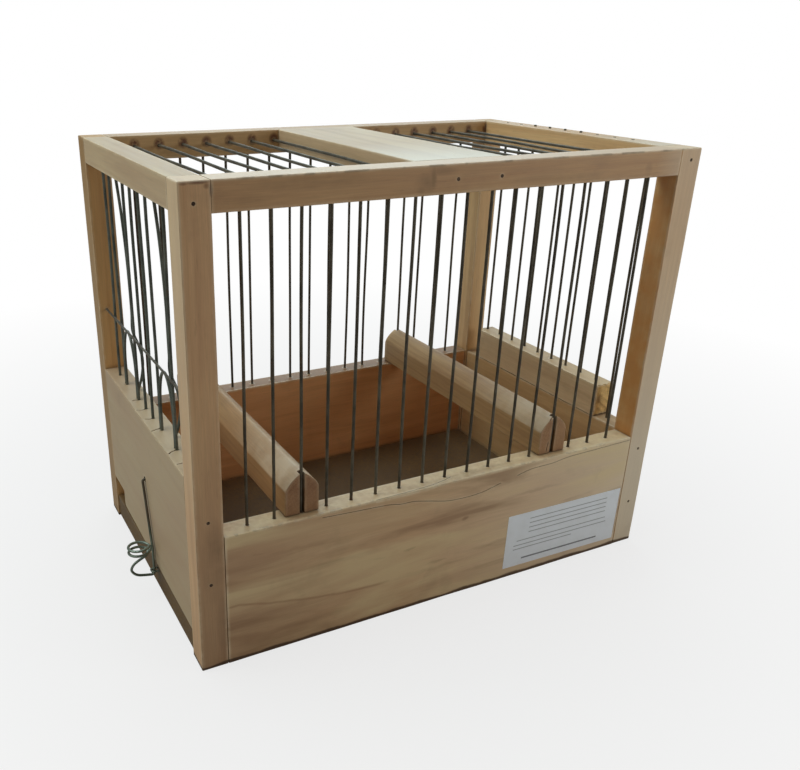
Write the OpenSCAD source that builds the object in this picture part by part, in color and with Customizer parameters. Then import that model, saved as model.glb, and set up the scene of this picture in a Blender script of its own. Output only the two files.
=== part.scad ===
// Songbird cage: a small pine cage barred with steel wire. Its left end has two
// feeder openings and a tray that pulls out, and its right end is a lift-up door.
// Millimetres, +Z up, front towards -Y. The origin is the middle of the base of
// the whole object's box. Inside the modules the left, front, bottom corner of the
// frame is at zero, and in_place() moves each finished piece to the origin.

/* [Frame] */
// Width of the cage over its posts
cage_w = 286; // [250:1:340]
// Depth of the cage over its posts
cage_d = 180; // [160:1:220]
// Height of the cage
cage_h = 240; // [215:1:300]
// Side of a square corner post
post = 14; // [13:0.5:16]
// Height of a top rail
rail_h = 13.5; // [12:0.5:16]
// Width of the board across the middle of the top
centre_board_w = 51; // [30:1:56]
// Thickness of that board
centre_board_t = 12; // [10:0.5:13]

/* [Boards] */
// Thickness of the lower boards
board_t = 13; // [11:0.5:14]
// Height of the front, back and right end boards
board_h = 74.5; // [60:0.5:85]
// Height of the top edge of the left end board above the ground
left_board_top = 104; // [96:0.2:115]
// Height of the tray slot under the left end board at its front end
slot_front_h = 16; // [14.5:0.5:18]
// Height of the tray slot beside the notch
slot_back_h = 20; // [16.5:0.5:22]
// Width of the notch at the back of the left end board
notch_w = 23; // [10:1:30]
// Height of the top of the notch above the ground
notch_top = 30; // [24:1:36]
// Rounding of the notch's lower front corner
notch_r = 2.5; // [0.5:0.5:3.5]

/* [Wires] */
// Diameter of a cage wire
wire_d = 1.6; // [1.2:0.1:2.2]
// Number of wires in the front and in the back
side_wires = 17; // [15:2:19]
// Number of wire places in each end
end_wires = 10; // [10:1:11]
// Distance of the wires' plane from the outer face of the frame
wire_in = 6.5; // [5.5:0.1:7]
// Distance of the left end's wires from the outer face of the frame
left_wire_in = 6; // [5.5:0.1:7]
// How deep a wire sits in a board's top edge
foot_deep = 10; // [6:0.5:14]
// How deep a wire sits in a top rail
head_deep = 5; // [3:0.5:6]
// Height of the top wires below the top of the cage
top_wire_drop = 6; // [5:0.5:7]
// How deep a top wire sits in a long rail
top_wire_deep = 6; // [4:0.5:8]
// Clearance round a wire that is fixed in its hole
fixed_fit = 0.05; // [0.02:0.01:0.1]

/* [Feeder openings] */
// Height of a feeder opening above the left end board
feeder_h = 36; // [30:0.2:38]
// Straight height of a feeder hoop's legs above the board
hoop_leg_h = 12; // [6:1:18]
// Gap between a hoop's leg and the wire beside it, centre to centre
hoop_gap = 2.4; // [2.3:0.1:3.5]
// How deep a hoop's leg sits in the board
hoop_deep = 6; // [4:0.5:10]
// Height of the crossbar's middle above the tops of the hoops
crossbar_up = 1.5; // [1:0.1:6]
// Diameter of the crossbar
crossbar_d = 1.3; // [1:0.1:1.6]
// How deep the crossbar sits in a post
crossbar_deep = 6; // [4:0.5:10]
// How far a guard wire bulges into the cage behind its opening
guard_bulge = 7.2; // [5:0.2:8]
// How far the foot of a guard wire stands in from the other wires
guard_foot_in = 3.4; // [3.4:0.1:4]
// How far the upper part of a guard wire leans in
guard_lean = 2.8; // [2:0.1:3.2]

/* [Door] */
// Height of the door's wooden bar
door_bar_h = 20.4; // [18:0.2:28]
// Thickness of the door's bar
door_bar_t = 13.4; // [11:0.2:14]
// Gap between the door's bar and the wire in front of it
door_front_gap = 4.4; // [3:0.1:7]
// Gap between the door's bar and the back post
door_back_gap = 10.8; // [0.4:0.1:12]
// Size of the corner sawn off the bar's inner far end
door_corner = 4.6; // [3:0.1:6]
// Clearance under the door's bar
door_seat_gap = 0.3; // [0.2:0.1:0.5]
// How deep a door wire sits in the door's bar
door_wire_deep = 12; // [8:1:18]
// Radial clearance of a door wire in the top rail
door_fit = 0.15; // [0.1:0.05:0.3]
// How far the four middle door wires stand out of the top rail
door_tip = 1.2; // [0.4:0.1:3]
// How far the other door wires stand out of the top rail
door_end_tip = 0.3; // [0:0.1:0.4]

/* [Perches] */
// Width of a perch
perch_w = 18.4; // [14:0.2:20]
// Height of a perch's straight sides
perch_side_h = 13.6; // [8:0.2:18]
// How pointed the top of a perch is: 1 is half round, 2 is a plain gable
perch_crest = 1.45; // [1:0.05:1.8]
// Width of the saw cut in a perch's end
kerf_w = 2.8; // [2.6:0.1:3.4]
// Clearance between the bottom of the saw cut and the wire
kerf_gap = 0.8; // [0.5:0.1:1.5]
// Distance of a perch's end from the outer face of the frame
perch_end_in = 4.6; // [4:0.1:5]
// Wire that the left perch rides on, counted from the left
left_perch_wire = 3; // [2:1:6]
// Wire that the right perch rides on, counted from the left
right_perch_wire = 14; // [10:1:14]
// Height of a perch above the boards that it rests on
perch_seat_gap = 0.2; // [0.1:0.1:0.3]

/* [Tray] */
// Thickness of the hardboard floor
floor_t = 3; // [2.5:0.1:4]
// Height of the runners that carry the tray
runner_h = 6.3; // [5:0.1:8]
// Width of a runner
runner_w = 8; // [5:0.5:12]
// Thickness of the strip that closes the slot
strip_t = 8; // [7:0.5:10]
// Distance of the strip behind the outer face of the frame
strip_in = 1; // [0.9:0.1:2]
// Clearance under and beside the tray's strip
tray_gap = 0.8; // [0.5:0.1:1.2]
// Clearance over the tray's strip at the front end of the slot
tray_top_gap = 0.4; // [0.3:0.1:1]
// Clearance between the tray's floor and its runners
tray_seat_gap = 0.2; // [0.1:0.1:0.3]
// Clearance behind the tray's floor
tray_end_gap = 3; // [1:0.5:6]
// How deep the floor sits in the strip
floor_groove = 4; // [2:0.5:5]

/* [Catch] */
// Diameter of the catch wire
catch_d = 1.5; // [1.2:0.1:1.6]
// Distance of the catch's lower part from the front of the cage
catch_y = 77; // [72:0.5:90]
// How far the catch's tip stands behind its lower part
catch_lean = 10.7; // [0:0.1:12]
// Height above which the shank leans back
catch_knee_h = 27; // [25:0.5:40]
// Distance of the catch's shank in front of the left end board
catch_out = 1.3; // [1.2:0.1:1.6]
// Height of the hole that the catch's tip enters
catch_hole_h = 66; // [50:1:75]
// Clearance round the tip in its hole
catch_fit = 0.95; // [0.9:0.05:1.2]
// Length of the tip inside the board
catch_tip = 4; // [3:0.5:5]
// Height of the shank's lower bend above the ground
catch_low = 10.4; // [10:0.1:10.8]
// Height of the staple that holds the shank to the tray's strip
staple_h = 12.9; // [12.7:0.1:13]
// Radius of the double ring, to the middle of its wire
ring_r = 6; // [5:0.1:6.4]
// Height of the ring's first turn
ring_h = 26; // [25:0.5:28]
// Rise of the ring from one turn to the next
ring_rise = 3.1; // [2:0.1:3.4]
// Number of turns in the ring
ring_turns = 1.9; // [1.5:0.1:2.2]
// Diameter of the staple's wire
staple_d = 1.1; // [0.9:0.1:1.2]
// Clearance between the staple and the catch's shank
staple_fit = 0.35; // [0.2:0.05:0.4]
// Wood left between the staple's legs and the tray's floor
staple_cover = 0.6; // [0.3:0.1:1]
// Radius of the catch's two sharp bends
catch_bend = 1.2; // [0.8:0.1:1.4]

/* [Nails and label] */
// Diameter of a nail's shank
nail_d = 1.3; // [1:0.1:1.6]
// Diameter of a nail's head
nail_head_d = 1.6; // [1.4:0.1:2.4]
// Thickness of a nail's head
nail_head_t = 0.6; // [0.4:0.1:1]
// Length of a nail
nail_len = 25; // [20:0.5:26]
// Height of the lowest nail in a left post
left_nail_h = 50; // [45:1:60]
// Depth of the middle nail in a left post below the top of the left end board
left_nail_drop = 19.4; // [15:0.2:24]
// Depth of the highest nail in a left post below the top of the cage
left_nail_top = 9; // [8:0.5:9.5]
// Height of the lowest nail in a right post
right_nail_h = 29; // [20:1:40]
// Depth of the middle nail in a right post below the top of the right end board
right_nail_drop = 9; // [6:0.5:14]
// Depth of the highest nail in a right post below the top of the cage
right_nail_top = 6; // [5:0.5:8]
// Width of the paper label
label_w = 84.8; // [60:0.2:95]
// Height of the paper label
label_h = 35.2; // [25:0.2:45]
// Thickness of the paper label
label_t = 0.15; // [0.1:0.05:0.3]
// Distance of the label from the right side of the cage
label_right = 15.8; // [15.2:0.2:24]
// Height of the label's lower edge above the ground
label_low = 5.9; // [3:0.1:16]
// Angle that the label is stuck at, its right end down
label_tilt = 0.8; // [0:0.1:1]

/* [Hidden] */

pine = "#cdbb96";
pine_dark = "#a98a63";
hardboard = "#5f4c36";
steel = "#4b4c45";
zinc = "#7f8a80";
paper = "#e4e7ea";

wire_sides = 24;
bent_sides = 8;
eps = 0.01;
over = 1;

side_pitch = (cage_w - 2 * post) / (side_wires + 1);
end_pitch = (cage_d - 2 * post) / (end_wires + 1);
rail_low = cage_h - rail_h;
foot_z = board_h - foot_deep;
head_z = rail_low + head_deep;
top_wire_z = cage_h - top_wire_drop;
left_foot_z = left_board_top - foot_deep;
right_x = cage_w - wire_in;

// Places of the two feeder openings, counted from the front
feeder_places = [3, end_wires - 2];
door_place = 1;
door_front_y = end_y(door_place) + door_front_gap + wire_d / 2;
door_back_y = cage_d - post - door_back_gap;
door_low = board_h + door_seat_gap;
tip_places = [for (k = [end_wires / 2 : end_wires - 2]) k];

crossbar_z = left_board_top + feeder_h + crossbar_up;
crossbar_x = left_wire_in - (wire_d + crossbar_d) / 2 - fixed_fit;
guard_foot_x = left_wire_in + guard_foot_in;

catch_tip_y = catch_y + catch_lean;
ring_x = -catch_out - catch_d - ring_r;
catch_reach = -ring_x + ring_r + catch_d / 2;
floor_low = runner_h + tray_seat_gap;
staple_deep = strip_t - floor_groove - staple_cover;
tray_front_y = post + tray_gap;
tray_back_y = cage_d - post - tray_gap;
tray_end_x = cage_w - board_t - tray_end_gap;

// Heights of the nails in the left posts and in the right posts
left_nails = [left_nail_h, left_board_top - left_nail_drop, cage_h - left_nail_top];
right_nails = [right_nail_h, board_h - right_nail_drop, cage_h - right_nail_top];
// Distances of the two nails in a long rail from the middle of the cage
centre_nails = [-10.5, 14];
centre_nail_z = cage_h - centre_board_t / 2 - 1;

function side_x(k) = post + k * side_pitch;
function end_y(k) = post + k * end_pitch;
function is_feeder(k) = len([for (f = feeder_places) if (f == k) f]) > 0;
function is_tip(k) = len([for (t = tip_places) if (t == k) t]) > 0;

// Points of a smooth curve through p (Catmull-Rom), n steps between two points
function spline_at(a, b, c, d, t) =
    0.5 * (2 * b + (c - a) * t + (2 * a - 5 * b + 4 * c - d) * t * t
    + (3 * b - a - 3 * c + d) * t * t * t);
function spline(p, n) = concat(
    [for (i = [0 : len(p) - 2], s = [0 : n - 1])
        spline_at(p[max(i - 1, 0)], p[i], p[i + 1], p[min(i + 2, len(p) - 1)], s / n)],
    [p[len(p) - 1]]);

// Directions along a path, and a normal that is carried along without twisting
function unit(v) = v / norm(v);
function heading(p, i) = unit(p[min(i + 1, len(p) - 1)] - p[max(i - 1, 0)]);
function square_to(n, t) = unit(n - (n * t) * t);
function carried(p, n0) = [
    for (i = 0, n = square_to(n0, heading(p, 0)); i < len(p);
         i = i + 1, n = i < len(p) ? square_to(n, heading(p, i)) : n) n
];

// A wire of diameter d bent along the points p
module bent_wire(p, d, n0) {
    n = carried(p, n0);
    m = bent_sides;
    last = (len(p) - 1) * m;
    rings = [
        for (i = [0 : len(p) - 1], j = [0 : m - 1])
            let (u = n[i], v = cross(heading(p, i), u), a = (j + 0.5) * 360 / m)
            p[i] + d / 2 * (cos(a) * u + sin(a) * v)
    ];
    sides = [
        for (i = [0 : len(p) - 2], j = [0 : m - 1])
            let (a = i * m + j, b = i * m + (j + 1) % m)
            each [[a, a + m, b], [b, a + m, b + m]]
    ];
    start = [for (j = [1 : m - 2]) [0, j, j + 1]];
    end = [for (j = [1 : m - 2]) [last, last + j + 1, last + j]];
    polyhedron(rings, concat(sides, start, end), convexity = 8);
}

module in_place() {
    translate([-(cage_w - catch_reach) / 2, -(cage_d - label_t) / 2, 0]) children();
}

module upright(x, y, low, high, d) {
    translate([x, y, low]) cylinder(d = d, h = high - low, $fn = wire_sides);
}

module along_y(x, z, front, back, d) {
    translate([x, front, z]) rotate([-90, 0, 0])
        cylinder(d = d, h = back - front, $fn = wire_sides);
}

module along_x(y, z, left, right, d) {
    translate([left, y, z]) rotate([0, 90, 0])
        cylinder(d = d, h = right - left, $fn = wire_sides);
}

// Turns a front piece into the matching back piece
module at_back() {
    translate([0, cage_d, 0]) mirror([0, 1, 0]) children();
}

// A nail, or with extra clearance its hole, driven in from the front
module nail(x, z, extra) {
    along_y(x, z, 0, nail_head_t + eps, nail_head_d + extra);
    along_y(x, z, 0, nail_len + extra, nail_d + extra);
}

module front_nail_set(extra) {
    for (z = left_nails) nail(wire_in, z, extra);
    for (z = right_nails) nail(right_x, z, extra);
    for (x = centre_nails) nail(cage_w / 2 + x, centre_nail_z, extra);
}

module all_nail_holes() {
    front_nail_set(2 * fixed_fit);
    at_back() front_nail_set(2 * fixed_fit);
}

// Corner posts
module left_post() {
    difference() {
        cube([post, post, cage_h]);
        all_nail_holes();
        along_y(crossbar_x, crossbar_z, post - crossbar_deep, post + over,
            crossbar_d + 2 * fixed_fit);
    }
}

module right_post() {
    difference() {
        translate([cage_w - post, 0, 0]) cube([post, post, cage_h]);
        all_nail_holes();
    }
}

// Top frame
module long_rail() {
    d = wire_d + 2 * fixed_fit;
    difference() {
        translate([post, 0, rail_low]) cube([cage_w - 2 * post, post, rail_h]);
        for (k = [1 : side_wires]) upright(side_x(k), wire_in, rail_low - over, head_z, d);
        for (k = [1 : side_wires]) if (in_top(k))
            along_y(side_x(k), top_wire_z, post - top_wire_deep, post + over, d);
        all_nail_holes();
    }
}

// Whether a place has a wire across the top, clear of the centre board
function in_top(k) =
    abs(side_x(k) - cage_w / 2) > centre_board_w / 2 + wire_d / 2 + 0.5;

module left_rail() {
    difference() {
        translate([0, post, rail_low]) cube([post, cage_d - 2 * post, rail_h]);
        for (k = [1 : end_wires])
            upright(left_wire_in, end_y(k), rail_low - over, head_z,
                wire_d + 2 * fixed_fit);
        all_nail_holes();
    }
}

module right_rail() {
    difference() {
        translate([cage_w - post, post, rail_low])
            cube([post, cage_d - 2 * post, rail_h]);
        for (k = [1 : door_place])
            upright(right_x, end_y(k), rail_low - over, head_z, wire_d + 2 * fixed_fit);
        for (k = [door_place + 1 : end_wires])
            upright(right_x, end_y(k), rail_low - over, cage_h + over,
                wire_d + 2 * door_fit);
        all_nail_holes();
    }
}

module centre_board() {
    difference() {
        translate([(cage_w - centre_board_w) / 2, post, cage_h - centre_board_t])
            cube([centre_board_w, cage_d - 2 * post, centre_board_t]);
        all_nail_holes();
    }
}

// Lower boards
module long_board() {
    difference() {
        translate([post, 0, 0]) cube([cage_w - 2 * post, board_t, board_h]);
        for (k = [1 : side_wires])
            upright(side_x(k), wire_in, foot_z, board_h + over, wire_d + 2 * fixed_fit);
    }
}

module right_board() {
    difference() {
        translate([cage_w - board_t, post, 0])
            cube([board_t, cage_d - 2 * post, board_h]);
        for (k = [1 : door_place])
            upright(right_x, end_y(k), foot_z, board_h + over, wire_d + 2 * fixed_fit);
        all_nail_holes();
    }
}

// Outline of the left end board, seen from the left: back edge first
module left_board_outline() {
    back = cage_d - post;
    notch_y = back - notch_w;
    difference() {
        polygon([[post, slot_front_h], [notch_y, slot_back_h], [notch_y, notch_top],
            [back, notch_top], [back, left_board_top], [post, left_board_top]]);
        translate([notch_y - notch_r, slot_back_h]) notch_rounding();
    }
}

// What is cut away to round the notch's lower front corner
module notch_rounding() {
    difference() {
        translate([0, -over]) square([notch_r + over, notch_r + over]);
        translate([0, notch_r]) circle(r = notch_r, $fn = wire_sides);
    }
}

module left_board() {
    d = wire_d + 2 * fixed_fit;
    hole_top = left_board_top + over;
    difference() {
        rotate([90, 0, 90]) linear_extrude(board_t) left_board_outline();
        for (k = [1 : end_wires]) if (!is_feeder(k))
            upright(left_wire_in, end_y(k), left_foot_z, hole_top, d);
        for (k = feeder_places) {
            upright(guard_foot_x, end_y(k), left_foot_z, hole_top, d);
            for (s = [-1, 1])
                upright(left_wire_in, end_y(k) + s * hoop_half(),
                    left_board_top - hoop_deep, hole_top, d);
        }
        along_x(catch_tip_y, catch_hole_h, -over, catch_tip + 2,
            catch_d + 2 * catch_fit);
        all_nail_holes();
    }
}

// Straight wires
module side_wire_set() {
    for (k = [1 : side_wires]) upright(side_x(k), wire_in, foot_z, head_z, wire_d);
}

module top_wire_set(side) {
    for (k = [1 : side_wires]) if (in_top(k) && sign(side_x(k) - cage_w / 2) == side)
        along_y(side_x(k), top_wire_z, post - top_wire_deep,
            cage_d - post + top_wire_deep, wire_d);
}

module left_wire_set() {
    for (k = [1 : end_wires]) if (!is_feeder(k))
        upright(left_wire_in, end_y(k), left_foot_z, head_z, wire_d);
}

module crossbar() {
    along_y(crossbar_x, crossbar_z, post - crossbar_deep,
        cage_d - post + crossbar_deep, crossbar_d);
}

// Half the width of a feeder hoop, to the middle of its wire
function hoop_half() = end_pitch - hoop_gap;

// A feeder hoop: straight legs under half of an ellipse
module feeder_hoop(k) {
    low = left_board_top - hoop_deep;
    spring = left_board_top + hoop_leg_h;
    rise = feeder_h - hoop_leg_h;
    x = left_wire_in;
    near = end_y(k) - hoop_half();
    far = end_y(k) + hoop_half();
    arch = [for (a = [0 : 7.5 : 180])
        [x, end_y(k) - hoop_half() * cos(a), spring + rise * sin(a)]];
    bent_wire(concat([[x, near, low], [x, near, spring - 4]], arch,
        [[x, far, spring - 4], [x, far, low]]), wire_d, [1, 0, 0]);
}

// A guard wire, which leans in above its opening and bulges in behind it
module feeder_guard(k) {
    lean_x = left_wire_in + guard_lean;
    bulge_x = left_wire_in + guard_bulge;
    board = left_board_top;
    arch = board + feeder_h;
    span = rail_low - arch;
    path = [
        [left_wire_in, rail_low],
        [left_wire_in + 0.6 * guard_lean, rail_low - 0.25 * span],
        [lean_x, rail_low - 0.55 * span], [lean_x + 0.1 * guard_lean, arch + 0.14 * span],
        [lean_x, arch], [lean_x + 0.68 * (bulge_x - lean_x), board + 0.73 * feeder_h],
        [bulge_x, board + 0.49 * feeder_h],
        [bulge_x - 0.3 * (bulge_x - guard_foot_x), board + 0.23 * feeder_h],
        [guard_foot_x, board]
    ];
    bend = spline(path, 6);
    points = concat([[left_wire_in, head_z]], bend, [[guard_foot_x, left_foot_z]]);
    bent_wire([for (p = points) [p[0], end_y(k), p[1]]], wire_d, [0, 1, 0]);
}

module fixed_side_wire() {
    for (k = [1 : door_place]) upright(right_x, end_y(k), foot_z, head_z, wire_d);
}

// Door
module door_board() {
    difference() {
        translate([cage_w - door_bar_t, door_front_y, door_low])
            linear_extrude(door_bar_h)
                polygon([[0, 0], [door_bar_t, 0], [door_bar_t, door_back_y - door_front_y],
                    [door_corner, door_back_y - door_front_y],
                    [0, door_back_y - door_front_y - door_corner]]);
        for (k = [door_place + 1 : end_wires])
            upright(right_x, end_y(k), door_low + door_bar_h - door_wire_deep,
                door_low + door_bar_h + over, wire_d + 2 * fixed_fit);
    }
}

module door_wire_set() {
    for (k = [door_place + 1 : end_wires])
        upright(right_x, end_y(k), door_low + door_bar_h - door_wire_deep,
            cage_h + (is_tip(k) ? door_tip : door_end_tip), wire_d);
}

// Half the outline of a perch's end: a point on its rounded top at the angle a
function crest(a) = let (r = perch_w / 2)
    [r * sign(cos(a)) * pow(abs(cos(a)), perch_crest), r * pow(sin(a), perch_crest)];

// Perch: straight sides and a crested round top, with a saw cut in each end
module perch(k) {
    low = board_h + perch_seat_gap;
    length = cage_d - 2 * perch_end_in;
    cut = wire_in + wire_d / 2 + kerf_gap - perch_end_in;
    translate([side_x(k), perch_end_in, low]) difference() {
        translate([0, length, 0]) rotate([90, 0, 0]) linear_extrude(length)
            polygon(concat([[-perch_w / 2, 0], [perch_w / 2, 0]],
                [for (a = [0 : 7.5 : 180]) crest(a) + [0, perch_side_h]]));
        for (y = [-over, length - cut])
            translate([-kerf_w / 2, y, -over])
                cube([kerf_w, cut + over, perch_side_h + perch_w]);
    }
}

// Tray
module floor_panel() {
    left = strip_in + strip_t - floor_groove;
    translate([left, tray_front_y, floor_low])
        cube([tray_end_x - left, tray_back_y - tray_front_y, floor_t]);
}

module slot_strip() {
    high = slot_front_h - tray_top_gap;
    difference() {
        translate([strip_in, tray_front_y, tray_gap])
            cube([strip_t, tray_back_y - tray_front_y, high - tray_gap]);
        translate([strip_in + strip_t - floor_groove, tray_front_y - over, floor_low])
            cube([floor_groove + over, cage_d, floor_t]);
        for (s = [-1, 1])
            along_x(catch_y + s * staple_half(), staple_h, 0, strip_in + staple_deep,
                staple_d + 2 * fixed_fit);
    }
}

module runner() {
    translate([post, board_t, 0])
        cube([cage_w - 2 * post, runner_w, runner_h]);
}

// Catch: tip, leaning shank, lower loop and double ring, bent from one wire
module catch() {
    x = -catch_out;
    y = catch_y;
    r = catch_bend;
    side = ring_x - ring_r;
    rise = ring_h - catch_low;
    top = catch_tip_y;
    tip = [[catch_tip, top, catch_hole_h], [x + r, top, catch_hole_h],
        [x + r * 0.3, top, catch_hole_h - r * 0.3], [x, top, catch_hole_h - r]];
    foot = [[x, y, catch_knee_h], [x, y, catch_low + r],
        [x - r * 0.4, y, catch_low + r * 0.35]];
    loop = [for (p = spline([
        [x - 0.27 * ring_r, catch_low - 0.05],
        [x - 0.95 * ring_r, catch_low + 0.05 * rise],
        [x - 1.52 * ring_r, catch_low + 0.11 * rise],
        [side + 0.33 * ring_r, catch_low + 0.22 * rise],
        [side + 0.1 * ring_r, catch_low + 0.4 * rise],
        [side + 0.35 * ring_r, catch_low + 0.59 * rise],
        [ring_x - 0.2 * ring_r, catch_low + 0.71 * rise],
        [ring_x + 0.2 * ring_r, catch_low + 0.79 * rise],
        [x - 0.62 * ring_r, catch_low + 0.88 * rise]], 3)) [p[0], y, p[1]]];
    ring = [for (a = [20 : 20 : 360 * ring_turns])
        [ring_x + ring_r * cos(a), y + ring_r * sin(a), ring_h + ring_rise * a / 360]];
    bent_wire(concat(tip, foot, loop, ring), catch_d, [0, 1, 0]);
}

function staple_half() = catch_d / 2 + staple_d / 2 + staple_fit;

// Staple round the catch's shank: two legs joined by a crown
module staple() {
    out = catch_out + staple_half();
    for (s = [-1, 1])
        along_x(catch_y + s * staple_half(), staple_h, -out, strip_in + staple_deep,
            staple_d);
    along_y(-out, staple_h, catch_y - staple_half(), catch_y + staple_half(), staple_d);
    for (s = [-1, 1])
        translate([-out, catch_y + s * staple_half(), staple_h])
            sphere(d = staple_d, $fn = wire_sides);
}

// Label on the front board
module label() {
    translate([cage_w - label_right - label_w / 2, -label_t, label_low + label_h / 2])
        rotate([0, label_tilt, 0])
            translate([-label_w / 2, 0, -label_h / 2]) cube([label_w, label_t, label_h]);
}

in_place() color(pine) left_post();  // front_left_post
in_place() color(pine) right_post();  // front_right_post
in_place() color(pine) at_back() left_post();  // back_left_post
in_place() color(pine) at_back() right_post();  // back_right_post
in_place() color(pine) long_rail();  // front_top_rail
in_place() color(pine) at_back() long_rail();  // back_top_rail
in_place() color(pine) left_rail();  // left_top_rail
in_place() color(pine) right_rail();  // right_top_rail
in_place() color(pine) centre_board();  // top_centre_board
in_place() color(pine) long_board();  // front_board
in_place() color(pine) at_back() long_board();  // back_board
in_place() color(pine) left_board();  // left_end_board
in_place() color(pine) right_board();  // right_end_board
in_place() color(steel) side_wire_set();  // front_wires
in_place() color(steel) at_back() side_wire_set();  // back_wires
in_place() color(steel) top_wire_set(-1);  // top_left_wires
in_place() color(steel) top_wire_set(1);  // top_right_wires
in_place() color(steel) left_wire_set();  // left_end_wires
in_place() color(steel) feeder_guard(feeder_places[0]);  // front_feeder_guard
in_place() color(steel) feeder_guard(feeder_places[1]);  // rear_feeder_guard
in_place() color(steel) feeder_hoop(feeder_places[0]);  // front_feeder_hoop
in_place() color(steel) feeder_hoop(feeder_places[1]);  // rear_feeder_hoop
in_place() color(steel) crossbar();  // left_crossbar
in_place() color(steel) fixed_side_wire();  // door_side_wire
in_place() color(pine) door_board();  // door_bar
in_place() color(steel) door_wire_set();  // door_wires
in_place() color(pine) perch(left_perch_wire);  // left_perch
in_place() color(pine) perch(right_perch_wire);  // right_perch
in_place() color(hardboard) floor_panel();  // tray_floor
in_place() color(hardboard) slot_strip();  // tray_strip
in_place() color(pine_dark) runner();  // front_runner
in_place() color(pine_dark) at_back() runner();  // back_runner
in_place() color(zinc) catch();  // catch_wire
in_place() color(zinc) staple();  // catch_staple
in_place() color(steel) front_nail_set(0);  // front_nails
in_place() color(steel) at_back() front_nail_set(0);  // back_nails
in_place() color(paper) label();  // paper_label
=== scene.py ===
# %% [markdown]
# A songbird cage of pine and steel wire. The packed model gives every piece's place, so this lesson
# starts by loading it. Each later cell makes one piece or finish and lays it over the plain solid.

# %% Load the packed model
import bpy
import bmesh
import math
from mathutils import Matrix, Vector, noise


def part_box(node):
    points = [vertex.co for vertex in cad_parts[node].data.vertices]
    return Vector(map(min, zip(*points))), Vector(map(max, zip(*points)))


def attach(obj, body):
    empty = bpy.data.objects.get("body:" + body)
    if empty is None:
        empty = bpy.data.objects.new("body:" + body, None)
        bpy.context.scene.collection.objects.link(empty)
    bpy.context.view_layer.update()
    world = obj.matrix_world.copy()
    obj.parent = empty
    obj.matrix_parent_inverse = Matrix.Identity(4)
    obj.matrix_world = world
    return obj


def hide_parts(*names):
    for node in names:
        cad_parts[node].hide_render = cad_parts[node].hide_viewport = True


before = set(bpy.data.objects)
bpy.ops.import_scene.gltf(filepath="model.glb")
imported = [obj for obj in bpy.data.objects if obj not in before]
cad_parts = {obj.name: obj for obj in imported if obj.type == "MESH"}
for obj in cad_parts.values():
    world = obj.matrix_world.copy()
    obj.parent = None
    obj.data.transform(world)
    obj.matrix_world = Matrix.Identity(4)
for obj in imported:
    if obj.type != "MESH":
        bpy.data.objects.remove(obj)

scene = bpy.context.scene
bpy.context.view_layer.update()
MM = 0.001
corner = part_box("front_left_post")[0]
print("Nodes:", len(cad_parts), "first corner of the frame:", [round(c, 4) for c in corner])

# %% [markdown]
# The lens and the place of the camera come from the cage's straight edges in the photograph: their
# vanishing points fix the focal length, and the corners fix the rest. The photograph is cut from a
# larger one, so its middle isn't on the lens's axis, and the camera gets a small shift.

# %% Camera
IMAGE_WIDTH, IMAGE_HEIGHT = 800, 770
FOCAL_PIXELS = 840.1
AXIS_PIXEL = (306.7, 404.5)
EYE = (-99.7, -320.3, 291.5)
LOOK = Vector((0.40218, 0.82316, -0.40082))
RIGHT = Vector((0.89983, -0.43619, 0.00707))


def at(x, y, z):
    """A point in millimetres from the frame's left, front, bottom corner, as a place in the scene"""
    return corner + Vector((x, y, z)) * MM


camera_data = bpy.data.cameras.new("camera")
camera = bpy.data.objects.new("camera", camera_data)
scene.collection.objects.link(camera)
camera_data.sensor_width = 36
camera_data.lens = FOCAL_PIXELS / IMAGE_WIDTH * camera_data.sensor_width
camera_data.shift_x = (IMAGE_WIDTH / 2 - AXIS_PIXEL[0]) / IMAGE_WIDTH
camera_data.shift_y = (AXIS_PIXEL[1] - IMAGE_HEIGHT / 2) / IMAGE_WIDTH
camera_data.clip_start = 0.01
turn = Matrix((RIGHT, RIGHT.cross(LOOK), -LOOK)).transposed()
camera.matrix_world = Matrix.Translation(at(*EYE)) @ turn.to_4x4()
scene.camera = camera
print("Lens:", round(camera_data.lens, 2), "mm")

# %% [markdown]
# Every finish below is a small graph of shader nodes. What a node gives out is kept as a Value. A
# plain sum on values adds the math node that does it, so the finishes read like arithmetic.

# %% Values of shader nodes
class Value:
    """A number, colour or place that a shader node gives out"""

    def __init__(self, graph, socket):
        self.graph, self.socket = graph, socket

    def calc(self, how, other=0.0):
        """One sum on this value and perhaps another"""
        return self.graph.value("Math", {0: self, 1: other}, operation=how)

    def __add__(self, other):
        return self.calc("ADD", other)

    def __sub__(self, other):
        return self.calc("SUBTRACT", other)

    def __mul__(self, other):
        return self.calc("MULTIPLY", other)

    def __truediv__(self, other):
        return self.calc("DIVIDE", other)

    def remap(self, low, high, new_low=0.0, new_high=1.0, **settings):
        """Stretches the value from one range to another, and holds it inside"""
        return self.graph.value("MapRange", {"Value": self, "From Min": low, "From Max": high,
                                             "To Min": new_low, "To Max": new_high}, **settings)


def strongest(values):
    """The largest of several values at each point"""
    total = values[0]
    for value in values[1:]:
        total = total.calc("MAXIMUM", value)
    return total


def colour(red, green, blue):
    """A colour in linear light from the 0 to 255 numbers of a colour picker"""
    return tuple(((v / 255 + 0.055) / 1.055) ** 2.4 if v > 10 else v / 3294.6
                 for v in (red, green, blue)) + (1.0,)


print("White paper in linear light:", [round(v, 3) for v in colour(246, 249, 255)])

# %% [markdown]
# A Graph adds nodes to one material or group. It has a short way to write each step that the finishes
# share: random lumps, measuring in millimetres on the cage, oval stains, and marks laid over a colour
# one after another, as a painter glazes. Its skin is a plain shader with a fine bump.

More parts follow.
